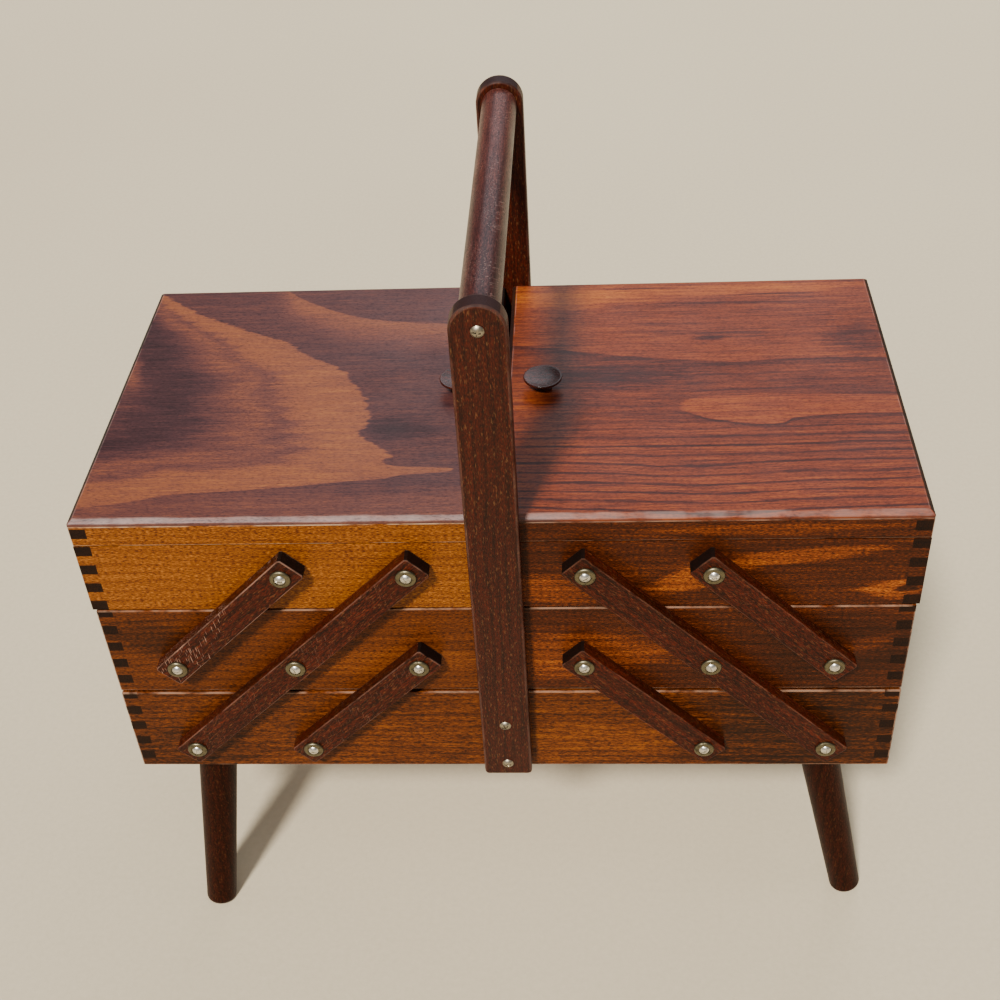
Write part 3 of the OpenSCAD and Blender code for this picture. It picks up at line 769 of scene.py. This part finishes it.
WOODS = by_slot(
    # The lids' pale tone serves their worn arrises and the painted highlight on the front bevel.
    wood(
        "left lid veneer", PLUM, figure=tongue_figure, level=True, broad=0.12,
        streak=0.34, fine=0.55, dash=0.5, pore=0.3, pore_tone="241012", roughness=0.45,
        specular=0.35, wear_and_highlight=0.2, wear_and_highlight_tone="b9a29a",
    ),
    wood(
        "right lid veneer", ROSE, figure=lens_figure, level=True, broad=0.24,
        streak=0.46, fine=0.6, dash=0.45, pore=0.3, pore_tone="280c0c", roughness=0.43,
        specular=0.27, wear_and_highlight=0.2, wear_and_highlight_tone="b9a29a",
    ),
    # The pale tone of the left top serves worn edges and the painted highlight on the upper arris.
    wood(
        "left top wood", GOLD, dash=1.8, pore=0.75, pore_tone="4a1e04", wear_and_highlight_tone="dcc4a0",
        wear_and_highlight=0.45, shifted=True,
    ),
    wood("right top wood", RUSSET, figure=plain_figure(FLAMES), wear_and_highlight=0.42, shifted=True),
    wood("left middle wood", AMBER, figure=plain_figure(LEFT_MIDDLE_PATCHES), shifted=True),
    wood("right middle wood", RUSSET, figure=plain_figure(MIDDLE_PATCHES_AND_SHADOW), shifted=True),
    wood(
        "base wood", AMBER, figure=plain_figure(BASE_PATCHES_AND_SHADOW), streak=0.8, fine=0.6,
        shifted=True,
    ),
    wood("end wood", AMBER, grain="y"),
    wood(
        "upright wood", DEEP, grain="z", streak=0.45, dash=0.8, wear_and_highlight_tone="9a7262", wear_and_highlight=0.12,
        speck=0.22, speck_tone="96683e", end="221010", specular=0.2,
    ),
    wood(
        "left link wood", DEEP, grain="left_link", streak=0.7, wear_and_highlight_tone="b0806a", wear_and_highlight=0.2,
        speck=0.3, scratch=0.15,
    ),
    wood(
        "left upper link wood", DEEP, grain="left_link", streak=0.7, wear_and_highlight_tone="b98e78", wear_and_highlight=0.36,
        speck=0.3, scratch=0.75,
    ),
    wood(
        "right link wood", DEEP, grain="right_link", streak=0.7, wear_and_highlight_tone="90604a", wear_and_highlight=0.2,
        speck=0.25, scratch=0.15,
    ),
    wood("leg wood", DARK, grain="z", broad=0.1, wear_and_highlight=0.0, speck=0.15, specular=0.08),
    wood("knob wood", DEEP, level=True, roughness=0.24, specular=0.4, wear_and_highlight=0.0),
    wood(
        "bar wood", BAR_TONES, grain="y", level=True, roughness=0.36, specular=0.2,
        broad=0.7, speck=0.2, speck_tone="8a6058", wear_and_highlight=0.0, wear_and_highlight_tone="a88a80", scratch=0.4,
        scratch_turn=BAR_SCRATCHES,
    ),
    wood("ply sheet", PLY, roughness=0.6, level=True, dash=0.4, pore=0.2),
)


# Noise of the metals, in cycles per metre, and the depth of their relief
TARNISH_PER_M = (420, 420, 420)
SCRATCHES_PER_M = (2600, 380, 900)
METAL_RELIEF = 0.012


def metal(name, colour, dark, roughness):
    """Worn plated metal with darker spots and fine scratches."""
    look = Look(name, roughness, metallic=1.0)
    spots = look.noise(look.place, TARNISH_PER_M, 3, 0.6)
    scratches = look.noise(look.place, SCRATCHES_PER_M)
    tarnish = look.rise(spots, 0.46, 0.7)
    shade = look.mix(look.times(tarnish, 0.6), paint(colour), paint(dark))
    gloss = look.add(roughness, look.times(tarnish, 0.22), look.centred(scratches, 0.16))
    return look.finish(shade, look.add(scratches, look.times(spots, 0.6)), METAL_RELIEF, gloss)


METALS = by_slot(
    metal("screw metal", "dedad0", "8a826c", 0.3),
    metal("dull metal", "a39a88", "4a3f30", 0.36),
    metal("cup metal", "736b54", "2c2718", 0.4),
    metal("hinge brass", "c2a35c", "6a5226", 0.3),
)


# Boards of the trays and lids

def fingers(low, high, first):
    """Heights between which the end boards' fingers show, from low to high."""
    found = []
    z = low + first
    while z <= high - LEAST_FINGER:
        found.append((z, min(z + FINGER, high)))
        z += 2 * FINGER
    return found


def stepped(a0, a1, low, high, cuts, step_at_cuts):
    """Outline of a board whose ends step in by BOARD, at the cuts or between them."""
    levels = sorted({low, high, *(z for pair in cuts for z in pair)})
    side = []
    for bottom, top in zip(levels, levels[1:]):
        in_cut = any(c[0] < (bottom + top) / 2 < c[1] for c in cuts)
        inset = BOARD if in_cut == step_at_cuts else 0.0
        side += [(inset, bottom), (inset, top)]
    return [(a0 + i, z) for i, z in side] + [(a1 - i, z) for i, z in reversed(side)]


def board(lo, hi, first, axis, face, width, wear_and_highlight):
    """Board along X or Y, as axis says, with its outer face on the side face, -1 or 1.

    The last argument marks its upper outer arris with real wear and a painted highlight."""
    across = Y if axis == X else X
    outer = lo[across] if face < 0 else hi[across]
    inner = outer - face * BOARD
    cuts = fingers(lo[Z], hi[Z], first)
    outline = stepped(lo[axis], hi[axis], lo[Z], hi[Z], cuts, axis == X)
    bm = prism(outline, across, min(outer, inner), max(outer, inner))
    planes = [{across: outer}, {axis: lo[axis]}, {axis: hi[axis]}]
    lines = [{**plane, Z: z} for plane in planes for z in (lo[Z], hi[Z])]
    lines += [{**planes[0], **plane} for plane in planes[1:]]
    round_lines(bm, width, lines)
    round_lines(bm, INNER_EDGE, [{across: inner, Z: hi[Z]}], 1)
    bm.normal_update()
    # The upper outer arris gets a stronger mark: real wear and a painted highlight along the seam.
    mark(bm, "wear_and_highlight", [f for f in bm.faces if on_arris(f, across, outer, hi[Z], width)], wear_and_highlight)
    return bm


def on_arris(face, across, outer, top, width):
    """Whether a face rounds the edge between the outer face and the top."""
    middle = face.calc_center_median()
    near = abs(middle[across] - outer) < width and top - width < middle[Z] < top - TOUCH
    return near and face.normal[Z] > 0.2


def size_of(node):
    """Lower and upper corner of a CAD node, in mm."""
    lo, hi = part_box(node)
    return [v / MM for v in lo], [v / MM for v in hi]


GRAIN = {X: Vector((1, 0, 0)), Y: Vector((0, 1, 0)), Z: Vector((0, 0, 1))}

# First finger's height, rounded edges' width, and upper arris's wear with a painted highlight, per
# tier
TIERS = {"middle": (FINGER, MIDDLE_EDGE, 1), "top": (0, TOP_EDGE, 2.2)}


def board_piece(node, body, slot, axis, faces, first, width, wear_and_highlight=1.0):
    """The boards of one node, with outer faces on the sides faces."""
    lo, hi = size_of(node)
    parts = [board(lo, hi, first, axis, face, width, wear_and_highlight) for face in faces]
    piece(node, joined(parts), body, WOODS[slot], GRAIN[axis])


def build_boards():
    for face, name in FACES:
        board_piece(f"base_{name}_board", "base", "base_wood", X, [face], FINGER, BASE_EDGE)
    for face, name in SIDES:
        board_piece(f"base_{name}_end", "base", "end_wood", Y, [face], FINGER, BASE_EDGE)
    for side in ("left", "right"):
        for tier, form in TIERS.items():
            body, slot = f"{side}_{tier}_tray", f"{side}_{tier}_wood"
            for face, name in FACES:
                board_piece(f"{side}_{tier}_{name}_board", body, slot, X, [face], *form)
            board_piece(f"{side}_{tier}_ends", body, "end_wood", Y, [LEFT, RIGHT], *form)
        lid, slot = f"{side}_lid", f"{side}_top_wood"
        form = (LID_FINGER, RIM_EDGE)
        board_piece(f"{side}_lid_side_rims", lid, slot, X, [FRONT, REAR], *form)
        board_piece(f"{side}_lid_end_rims", lid, "end_wood", Y, [LEFT, RIGHT], *form)


def build_panel(side):
    """Lid panel with a bevel all round and softened arrises, with a painted highlight on the front
    bevel.
    """
    node, slot = f"{side}_lid_panel", f"{side}_lid_veneer"
    lo, hi = size_of(node)
    bm = blank()
    rings = []
    for inset, z in ((0.0, lo[Z]), (0.0, hi[Z] - BEVEL_H), (BEVEL_W, hi[Z])):
        x0, x1, y0, y1 = lo[X] + inset, hi[X] - inset, lo[Y] + inset, hi[Y] - inset
        corners = ((x0, y0), (x1, y0), (x1, y1), (x0, y1))
        rings.append([bm.verts.new((x, y, z)) for x, y in corners])
    bm.faces.new(rings[0])
    bm.faces.new(rings[-1])
    for low, high in zip(rings, rings[1:]):
        for i in range(4):
            j = (i + 1) % 4
            bm.faces.new((low[i], low[j], high[j], high[i]))
    bmesh.ops.recalc_face_normals(bm, faces=bm.faces)
    round_sharp(bm, PANEL_EDGE)
    bm.normal_update()
    mark(bm, "wear_and_highlight", [f for f in bm.faces if abs(f.normal[X]) > 0.2], 0.0)
    # Painted highlight on the front bevel, carried by the wear mark.
    mark(bm, "wear_and_highlight", [f for f in bm.faces if f.normal[Y] < -0.5 and f.normal[Z] > 0.5], 0.8)
    piece(node, bm, f"{side}_lid", WOODS[slot], GRAIN[X])


# Links, pivots and screws

def link(pivot, count, side, face):
    """Link bar from its lower pivot towards the middle of the box, on the front or rear face."""
    x0, x1 = -LINK_END, (count - 1) * LINK_PITCH + LINK_END
    y1, clip = LINK_W / 2, LINK_CLIP
    outline = [
        (x0 + clip, -y1), (x1 - clip, -y1), (x1, clip - y1), (x1, y1 - clip),
        (x1 - clip, y1), (x0 + clip, y1), (x0, y1 - clip), (x0, clip - y1),
    ]
    bm = prism(outline, Y, 0.0, LINK_T)
    round_sharp(bm, LINK_EDGE, least=50.0)
    turn = Matrix.Rotation(LEAN - math.pi, 4, "Y")
    flip = Matrix.Diagonal((side, face, 1, 1))
    return turned(bm, flip @ Matrix.Translation((pivot[0], LINK_Y, pivot[1])) @ turn)


def link_piece(side, name, kind, pivot, count):
    """Front and rear link of a kind, with as many pivots as count says."""
    bm = joined([link(pivot, count, side, face) for face in (FRONT, REAR)])
    node = f"{name}_{kind}_links"
    wood_name = f"{name}_{kind}_link_wood"
    if wood_name not in WOODS:
        wood_name = f"{name}_link_wood"
    along = Vector((side, 0, -1)).normalized()
    piece(node, bm, node, WOODS[wood_name], along)


# Pivot screws, with heights above the cup washer's floor
HEAD_R = 3.2
PIVOT_WALL = 0.5
PIVOT_DOME = 1.7
SLOT = (12, 0.6, 2)
SLOT_FLOOR = 1.4
SHANK_R = 1.9
SHANK_L = 9

# Handle screws, with heights above the upright
CROSS_WALL = 0.3
CROSS_DOME = 1.5
CROSS = ((3.8, 0.8, 2), (0.8, 3.8, 2))
CROSS_FLOOR = 0.7

# Cup washers: bore, well round the head, and the lip's roll
CUP_BORE_R = 2
CUP_WELL_R = 3.25
CUP_ROLL = 1.75

# Hinge screws, with heights above the leaf, and their places
LEAF_HEAD = [(0, -0.6), (1.7, -0.6), (1.9, 0.05), (0, 0.12)]
LEAF_SLOT = (5, 0.5, 1)
LEAF_SLOT_FLOOR = -0.2
LEAF_SCREW_X = 216.6
LEAF_SCREW_Y = 8

# Seed of the slots' turns
SLOT_SEED = 11


def dome(r, h, wall, steps=7):
    """Profile of a domed head of radius r: a wall and a cap of height h on it."""
    ball = (r * r + h * h) / (2 * h)
    widest = math.asin(min(1.0, r / ball))
    turns = [widest * i / steps for i in range(steps, 0, -1)]
    cap = [(ball * math.sin(t), wall + h - ball + ball * math.cos(t)) for t in turns]
    return [(0.0, 0.0), (r, 0.0)] + cap + [(0.0, wall + h)]


def slotted_head():
    """Head and shank of a pivot screw on its cup's floor, with its slot along X."""
    head = cut(lathe(dome(HEAD_R, PIVOT_DOME, PIVOT_WALL), 48), notch(SLOT, SLOT_FLOOR))
    top = 0.2
    shank = lathe([(0.0, -SHANK_L), (SHANK_R, -SHANK_L), (SHANK_R, top), (0.0, top)], 24)
    return joined([head, shank])


def crossed_head():
    """Head of a handle screw, with its cross."""
    head = lathe(dome(HEAD_R, CROSS_DOME, CROSS_WALL), 48)
    for spans in CROSS:
        head = cut(head, notch(spans, CROSS_FLOOR))
    return head


def cup():
    """Cup washer with a rolled lip."""
    rise = CUP_H - CUP_FLOOR
    lip = [
        (CUP_R - CUP_ROLL * (1 - math.cos(a)), CUP_FLOOR + rise * math.sin(a))
        for a in arc(0, 90, 6)
    ]
    well = [(CUP_WELL_R, CUP_H - 0.1), (CUP_WELL_R, CUP_FLOOR), (CUP_BORE_R, CUP_FLOOR)]
    return lathe([(CUP_BORE_R, 0.0), (CUP_R, 0.0)] + lip + well, 48)


def outwards(x, y, z, face, turn=0.0):
    """Matrix that puts a fitting's Z along the outward normal of the front or rear face."""
    facing = Matrix.Rotation(math.radians(-90 * face), 4, "X")
    return Matrix.Translation((x, face * y, z)) @ facing @ Matrix.Rotation(turn, 4, "Z")


def build_pivots(tier, sides, body, prefix, head, washer):
    """Screws and cup washers of one body, each slot at a random turn."""
    spots = [
        (side * x, z, face) for side in sides for x, z in PIVOTS[tier] for face in (FRONT, REAR)
    ]
    turns = [random.uniform(0, math.pi) for _ in spots]
    heads = [outwards(x, CUP_Y + CUP_FLOOR, z, f, t) for (x, z, f), t in zip(spots, turns)]
    cups = [outwards(x, CUP_Y, z, f) for x, z, f in spots]
    for kind, template, places, metal_name in (
        ("pivot_screws", head, heads, "screw_metal"), ("cup_washers", washer, cups, "cup_metal"),
    ):
        node = f"{prefix}_{kind}"
        piece(node, copies(template, places), body, METALS[metal_name])


def build_fittings():
    head, washer = slotted_head(), cup()
    build_pivots("base", (LEFT, RIGHT), "base", "base", head, washer)
    for side, name in SIDES:
        for tier in TIERS:
            build_pivots(tier, (side,), f"{name}_{tier}_tray", f"{name}_{tier}", head, washer)
    cross = crossed_head()
    for node, heights in (("handle_bar_screws", (BAR_Z,)), ("upright_screws", UPRIGHT_SCREWS)):
        places = [
            outwards(0, UPRIGHT_FACE, z, face, random.uniform(0, math.pi))
            for face in (FRONT, REAR) for z in heights
        ]
        piece(node, copies(cross, places), "base", METALS["dull_metal"])


# Handle, legs and knobs

# The round tops stay this far inside the solids' faceted arcs
TOP_SINK = 0.04


def build_uprights():
    for _, name in FACES:
        node = f"{name}_upright"
        lo, hi = size_of(node)
        half = UPRIGHT_W / 2
        corner = [
            (half - UPRIGHT_CORNER * (1 - math.sin(a)), lo[Z] + UPRIGHT_CORNER * (1 - math.cos(a)))
            for a in arc(0, 90, 4)
        ]
        top = [
            (half * math.cos(a), BAR_Z + (half - TOP_SINK) * math.sin(a)) for a in arc(0, 180, 28)
        ]
        outline = corner + top + [(-x, z) for x, z in reversed(corner)]
        bm = prism(outline, Y, lo[Y], hi[Y])
        round_sharp(bm, UPRIGHT_EDGE, 3)
        piece(node, bm, "base", WOODS["upright_wood"], GRAIN[Z])


def build_bar():
    edge = [
        (BAR_R - BAR_EDGE * (1 - math.sin(a)), BAR_HALF - BAR_EDGE * (1 - math.cos(a)))
        for a in arc(90, 0, 4)
    ]
    profile = [(0.0, -BAR_HALF)] + [(r, -z) for r, z in reversed(edge)] + edge + [(0.0, BAR_HALF)]
    place = Matrix.Translation((0, 0, BAR_Z)) @ Matrix.Rotation(-math.pi / 2, 4, "X")
    bm = turned(lathe(profile, 72), place)
    piece("handle_bar", bm, "base", WOODS["bar_wood"])


# Side, face and turn of each leg's splay from the box's width, in degrees
LEGS = {
    "leg_front_left": (LEFT, FRONT, 67),
    "leg_front_right": (RIGHT, FRONT, 34),
    "leg_rear_left": (LEFT, REAR, 45),
    "leg_rear_right": (RIGHT, REAR, 45),
}


def build_leg(node, side, face, turn):
    """Tapered leg with a rounded foot, cut level on the floor and under the base tray."""
    flat_r = LEG_FOOT_R - FOOT_ROUND
    drop = LEG_AXIS[Z] + FOOT_CUT - FOOT_ROUND - flat_r * math.sin(LEG_SPLAY)
    length = FOOT_ROUND + drop / math.cos(LEG_SPLAY)
    foot = [
        (flat_r + FOOT_ROUND * math.cos(a), length - FOOT_ROUND * (1 - math.sin(a)))
        for a in arc(0, 90, 8)
    ]
    bm = lathe([(0, 0), (LEG_TOP_R, 0)] + foot + [(0, length)])
    splay = Matrix.Rotation(math.pi - LEG_SPLAY, 4, "Y")
    place = Matrix.Rotation(math.radians(turn), 4, "Z") @ splay
    flip = Matrix.Diagonal((side, face, 1, 1))
    turned(bm, flip @ Matrix.Translation(LEG_AXIS) @ place)
    for z, up in ((0.0, -1), (LEG_TOP_Z, 1)):
        geometry = bm.verts[:] + bm.edges[:] + bm.faces[:]
        sliced = bmesh.ops.bisect_plane(
            bm, geom=geometry, plane_co=(0, 0, z), plane_no=(0, 0, up), clear_outer=True,
        )
        rim = [e for e in sliced["geom_cut"] if isinstance(e, bmesh.types.BMEdge)]
        bmesh.ops.edgeloop_fill(bm, edges=rim)
    bmesh.ops.recalc_face_normals(bm, faces=bm.faces)
    piece(node, bm, "base", WOODS["leg_wood"])


# Profile of a knob, as (radius, height)
KNOB_FOOT = [(0, 0), (4.9, 0), (5.2, 0.25), (5.2, 0.8), (4.6, 1.3)]
KNOB_NECK = ((4.2, 1.8), (8.8, 5.2))
KNOB_RIM = (10.45, 7.25)
KNOB_RIM_ROUND = (0.55, 0.75)
KNOB_DISH = [(9.6, 7.9), (7.4, 7.5), (4.4, 7.28), (0, 7.2)]


def build_knob(side, name):
    """Turned knob: foot ring, hollow neck, thin disc with a rolled rim and a dished top."""
    (low_r, low_z), (high_r, high_z) = KNOB_NECK
    neck = [
        (low_r + (high_r - low_r) * t * t, low_z + (high_z - low_z) * t)
        for t in (0, 0.2, 0.4, 0.6, 0.8, 1.0)
    ]
    (rim_r, rim_z), (wide, high) = KNOB_RIM, KNOB_RIM_ROUND
    rim = [(rim_r + wide * math.cos(a), rim_z + high * math.sin(a)) for a in arc(-60, 90, 8)]
    place = Matrix.Translation((side * KNOB_X, 0, ROOF_Z))
    bm = turned(lathe(KNOB_FOOT + neck + rim + KNOB_DISH), place)
    piece(f"{name}_lid_knob", bm, f"{name}_lid", WOODS["knob_wood"])


# Hinges: the CAD leaves stay, and get their screws

def build_hinge_screws(side, name):
    head = cut(lathe(LEAF_HEAD, 32), notch(LEAF_SLOT, LEAF_SLOT_FLOOR))
    for kind, body, z, up in (
        ("tray", f"{name}_top_tray", TRAY_LEAF_Z, 1), ("lid", f"{name}_lid", LID_LEAF_Z, -1),
    ):
        flip = Matrix.Diagonal((1, 1, up, 1))
        places = [
            Matrix.Translation((side * LEAF_SCREW_X, y * HINGE_Y + step, z)) @ flip
            @ Matrix.Rotation(random.uniform(0, math.pi), 4, "Z")
            for y in (FRONT, REAR) for step in (-LEAF_SCREW_Y, LEAF_SCREW_Y)
        ]
        node, slot = f"{name}_hinge_{kind}_screws", "hinge_brass"
        piece(node, copies(head, places), body, METALS[slot], extra=True)


# CAD nodes whose shape stays

def dress(node, material, width):
    """Gives a CAD node its material, with its edges softened by modifiers."""
    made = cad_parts[node]
    for slot in made.material_slots:
        slot.material = material
    made.modifiers.new("weld", "WELD").merge_threshold = WELD_M
    bevel = made.modifiers.new("soft edges", "BEVEL")
    bevel.width = width * MM
    bevel.segments = 2
    bevel.limit_method = "ANGLE"
    bevel.angle_limit = SHARP
    flat_faces(made)


def build_kept_nodes():
    dress("base_bottom", WOODS["ply_sheet"], BOTTOM_EDGE)
    dress("leg_blocks", WOODS["leg_wood"], BLOCK_EDGE)
    for name in ("left", "right"):
        for tier in TIERS:
            dress(f"{name}_{tier}_bottom", WOODS["ply_sheet"], BOTTOM_EDGE)
        for kind in ("tray", "lid"):
            dress(f"{name}_hinge_{kind}_leaves", METALS["hinge_brass"], LEAF_EDGE)


# Floor, backdrop, light and camera, in metres

FLOOR_SIZE = 60
FLOOR_TONES = [(0, "b4a68a"), (1, "d1c4a8")]
FLOOR_GRAIN_PER_M = (260, 260, 260)
FLOOR_CLOUDS_PER_M = (1.4, 1.4, 1.4)
FLOOR_RELIEF = 0.15
BACKDROP_R = 25
BACKDROP_TONE = "dacdb4"
BACKDROP_STRENGTH = 1.5

SKY = (0.9, 0.94, 1, 1)
SKY_STRENGTH = 0.21
WARM = (1, 0.95, 0.88)
COOL = (0.88, 0.93, 1)
PLAIN = (1, 1, 1)
FILL = (1, 0.98, 0.94)
SUN = ("key", "SUN", (-0.52, -1.46, 2.05), (0, 0, 0.22), 5.8, WARM)
SUN_ANGLE = math.radians(8)
# Soft lights: name, place, target, size, power, colour, and whether gloss mirrors them
SOFT_LIGHTS = (
    ("front", (0.1, -1, 2.8), (0, 0, 0.3), 1.5, 14, PLAIN, True),
    ("back", (0.3, 2.2, 2.2), (0, 0, 0.3), 2, 26, COOL, True),
    ("rear fill", (0.8, 4, 1.3), (0, 0, 0.25), 2, 56, FILL, False),
    ("right fill", (3.6, -0.3, 1.2), (0, 0, 0.25), 2, 30, FILL, False),
    ("left fill", (-3.6, 0.6, 1.2), (0, 0, 0.25), 2, 18, FILL, False),
)

# Camera fitted to the photograph: place and axes
LENS_MM = 51.9
SENSOR_MM = 36
CAMERA_PLACE = (0.05039, -0.66625, 0.79214)
CAMERA_RIGHT = Vector((0.99789, 0.04120, -0.05010))
CAMERA_DOWN = Vector((-0.01212, -0.64037, -0.76797))
CAMERA_FORWARD = Vector((-0.06372, 0.76696, -0.63852))


def build_floor():
    look = Look("pale floor", 0.8)
    grain = look.noise(look.place, FLOOR_GRAIN_PER_M, 3.0, 0.6)
    clouds = look.noise(look.place, FLOOR_CLOUDS_PER_M)
    tone = look.add(0.5, look.centred(grain, 0.5), look.centred(clouds, 0.4))
    material = look.finish(look.ramp(tone, FLOOR_TONES), grain, FLOOR_RELIEF)
    bpy.ops.mesh.primitive_plane_add(size=FLOOR_SIZE, location=(0, 0, 0))
    floor = bpy.context.object
    floor.name = "floor"
    floor.data.materials.append(material)


def build_backdrop():
    """Pale dome behind everything. It neither lights nor shades the scene."""
    look = Look("pale backdrop", 1.0, specular=0.0)
    set_inputs(look.shader, {
        "Base Color": (0, 0, 0, 1), "Emission Color": paint(BACKDROP_TONE),
        "Emission Strength": BACKDROP_STRENGTH,
    })
    bpy.ops.mesh.primitive_uv_sphere_add(segments=64, ring_count=32, radius=BACKDROP_R)
    backdrop = bpy.context.object
    backdrop.name = "backdrop"
    backdrop.data.shade_smooth()
    backdrop.data.materials.append(look.material)
    for rays in ("diffuse", "glossy", "transmission", "volume_scatter", "shadow"):
        setattr(backdrop, f"visible_{rays}", False)


def light(name, kind, place, target, power, colour):
    """Lamp of a kind at a place, turned to its target."""
    data = bpy.data.lights.new(name, kind)
    data.energy = power
    data.color = colour
    lamp = placed(name, data)
    lamp.location = place
    lamp.rotation_euler = (Vector(target) - Vector(place)).to_track_quat("-Z", "Y").to_euler()
    return lamp


def build_light():
    world = bpy.data.worlds.new("studio")
    bpy.context.scene.world = world
    world.use_nodes = True
    sky = world.node_tree.nodes["Background"]
    set_inputs(sky, {"Color": SKY, "Strength": SKY_STRENGTH})
    light(*SUN).data.angle = SUN_ANGLE
    for name, place, target, size, power, colour, mirrored in SOFT_LIGHTS:
        lamp = light(name, "AREA", place, target, power, colour)
        lamp.data.size = size
        lamp.visible_glossy = mirrored


def build_camera():
    data = bpy.data.cameras.new("camera")
    data.sensor_width = SENSOR_MM
    data.lens = LENS_MM
    camera = placed("camera", data)
    turn = Matrix((CAMERA_RIGHT, -CAMERA_DOWN, -CAMERA_FORWARD)).transposed()
    camera.matrix_world = Matrix.Translation(CAMERA_PLACE) @ turn.to_4x4()
    bpy.context.scene.camera = camera


def build():
    random.seed(SLOT_SEED)
    build_camera()
    build_light()
    build_floor()
    build_backdrop()
    build_boards()
    build_uprights()
    build_bar()
    build_fittings()
    for node, (side, face, turn) in LEGS.items():
        build_leg(node, side, face, turn)
    for side, name in SIDES:
        build_panel(name)
        link_piece(side, name, "long", PIVOTS["base"][0], 3)
        link_piece(side, name, "lower", PIVOTS["base"][1], 2)
        link_piece(side, name, "upper", PIVOTS["middle"][2], 2)
        build_knob(side, name)
        build_hinge_screws(side, name)
    build_kept_nodes()


build()
bpy.context.view_layer.update()
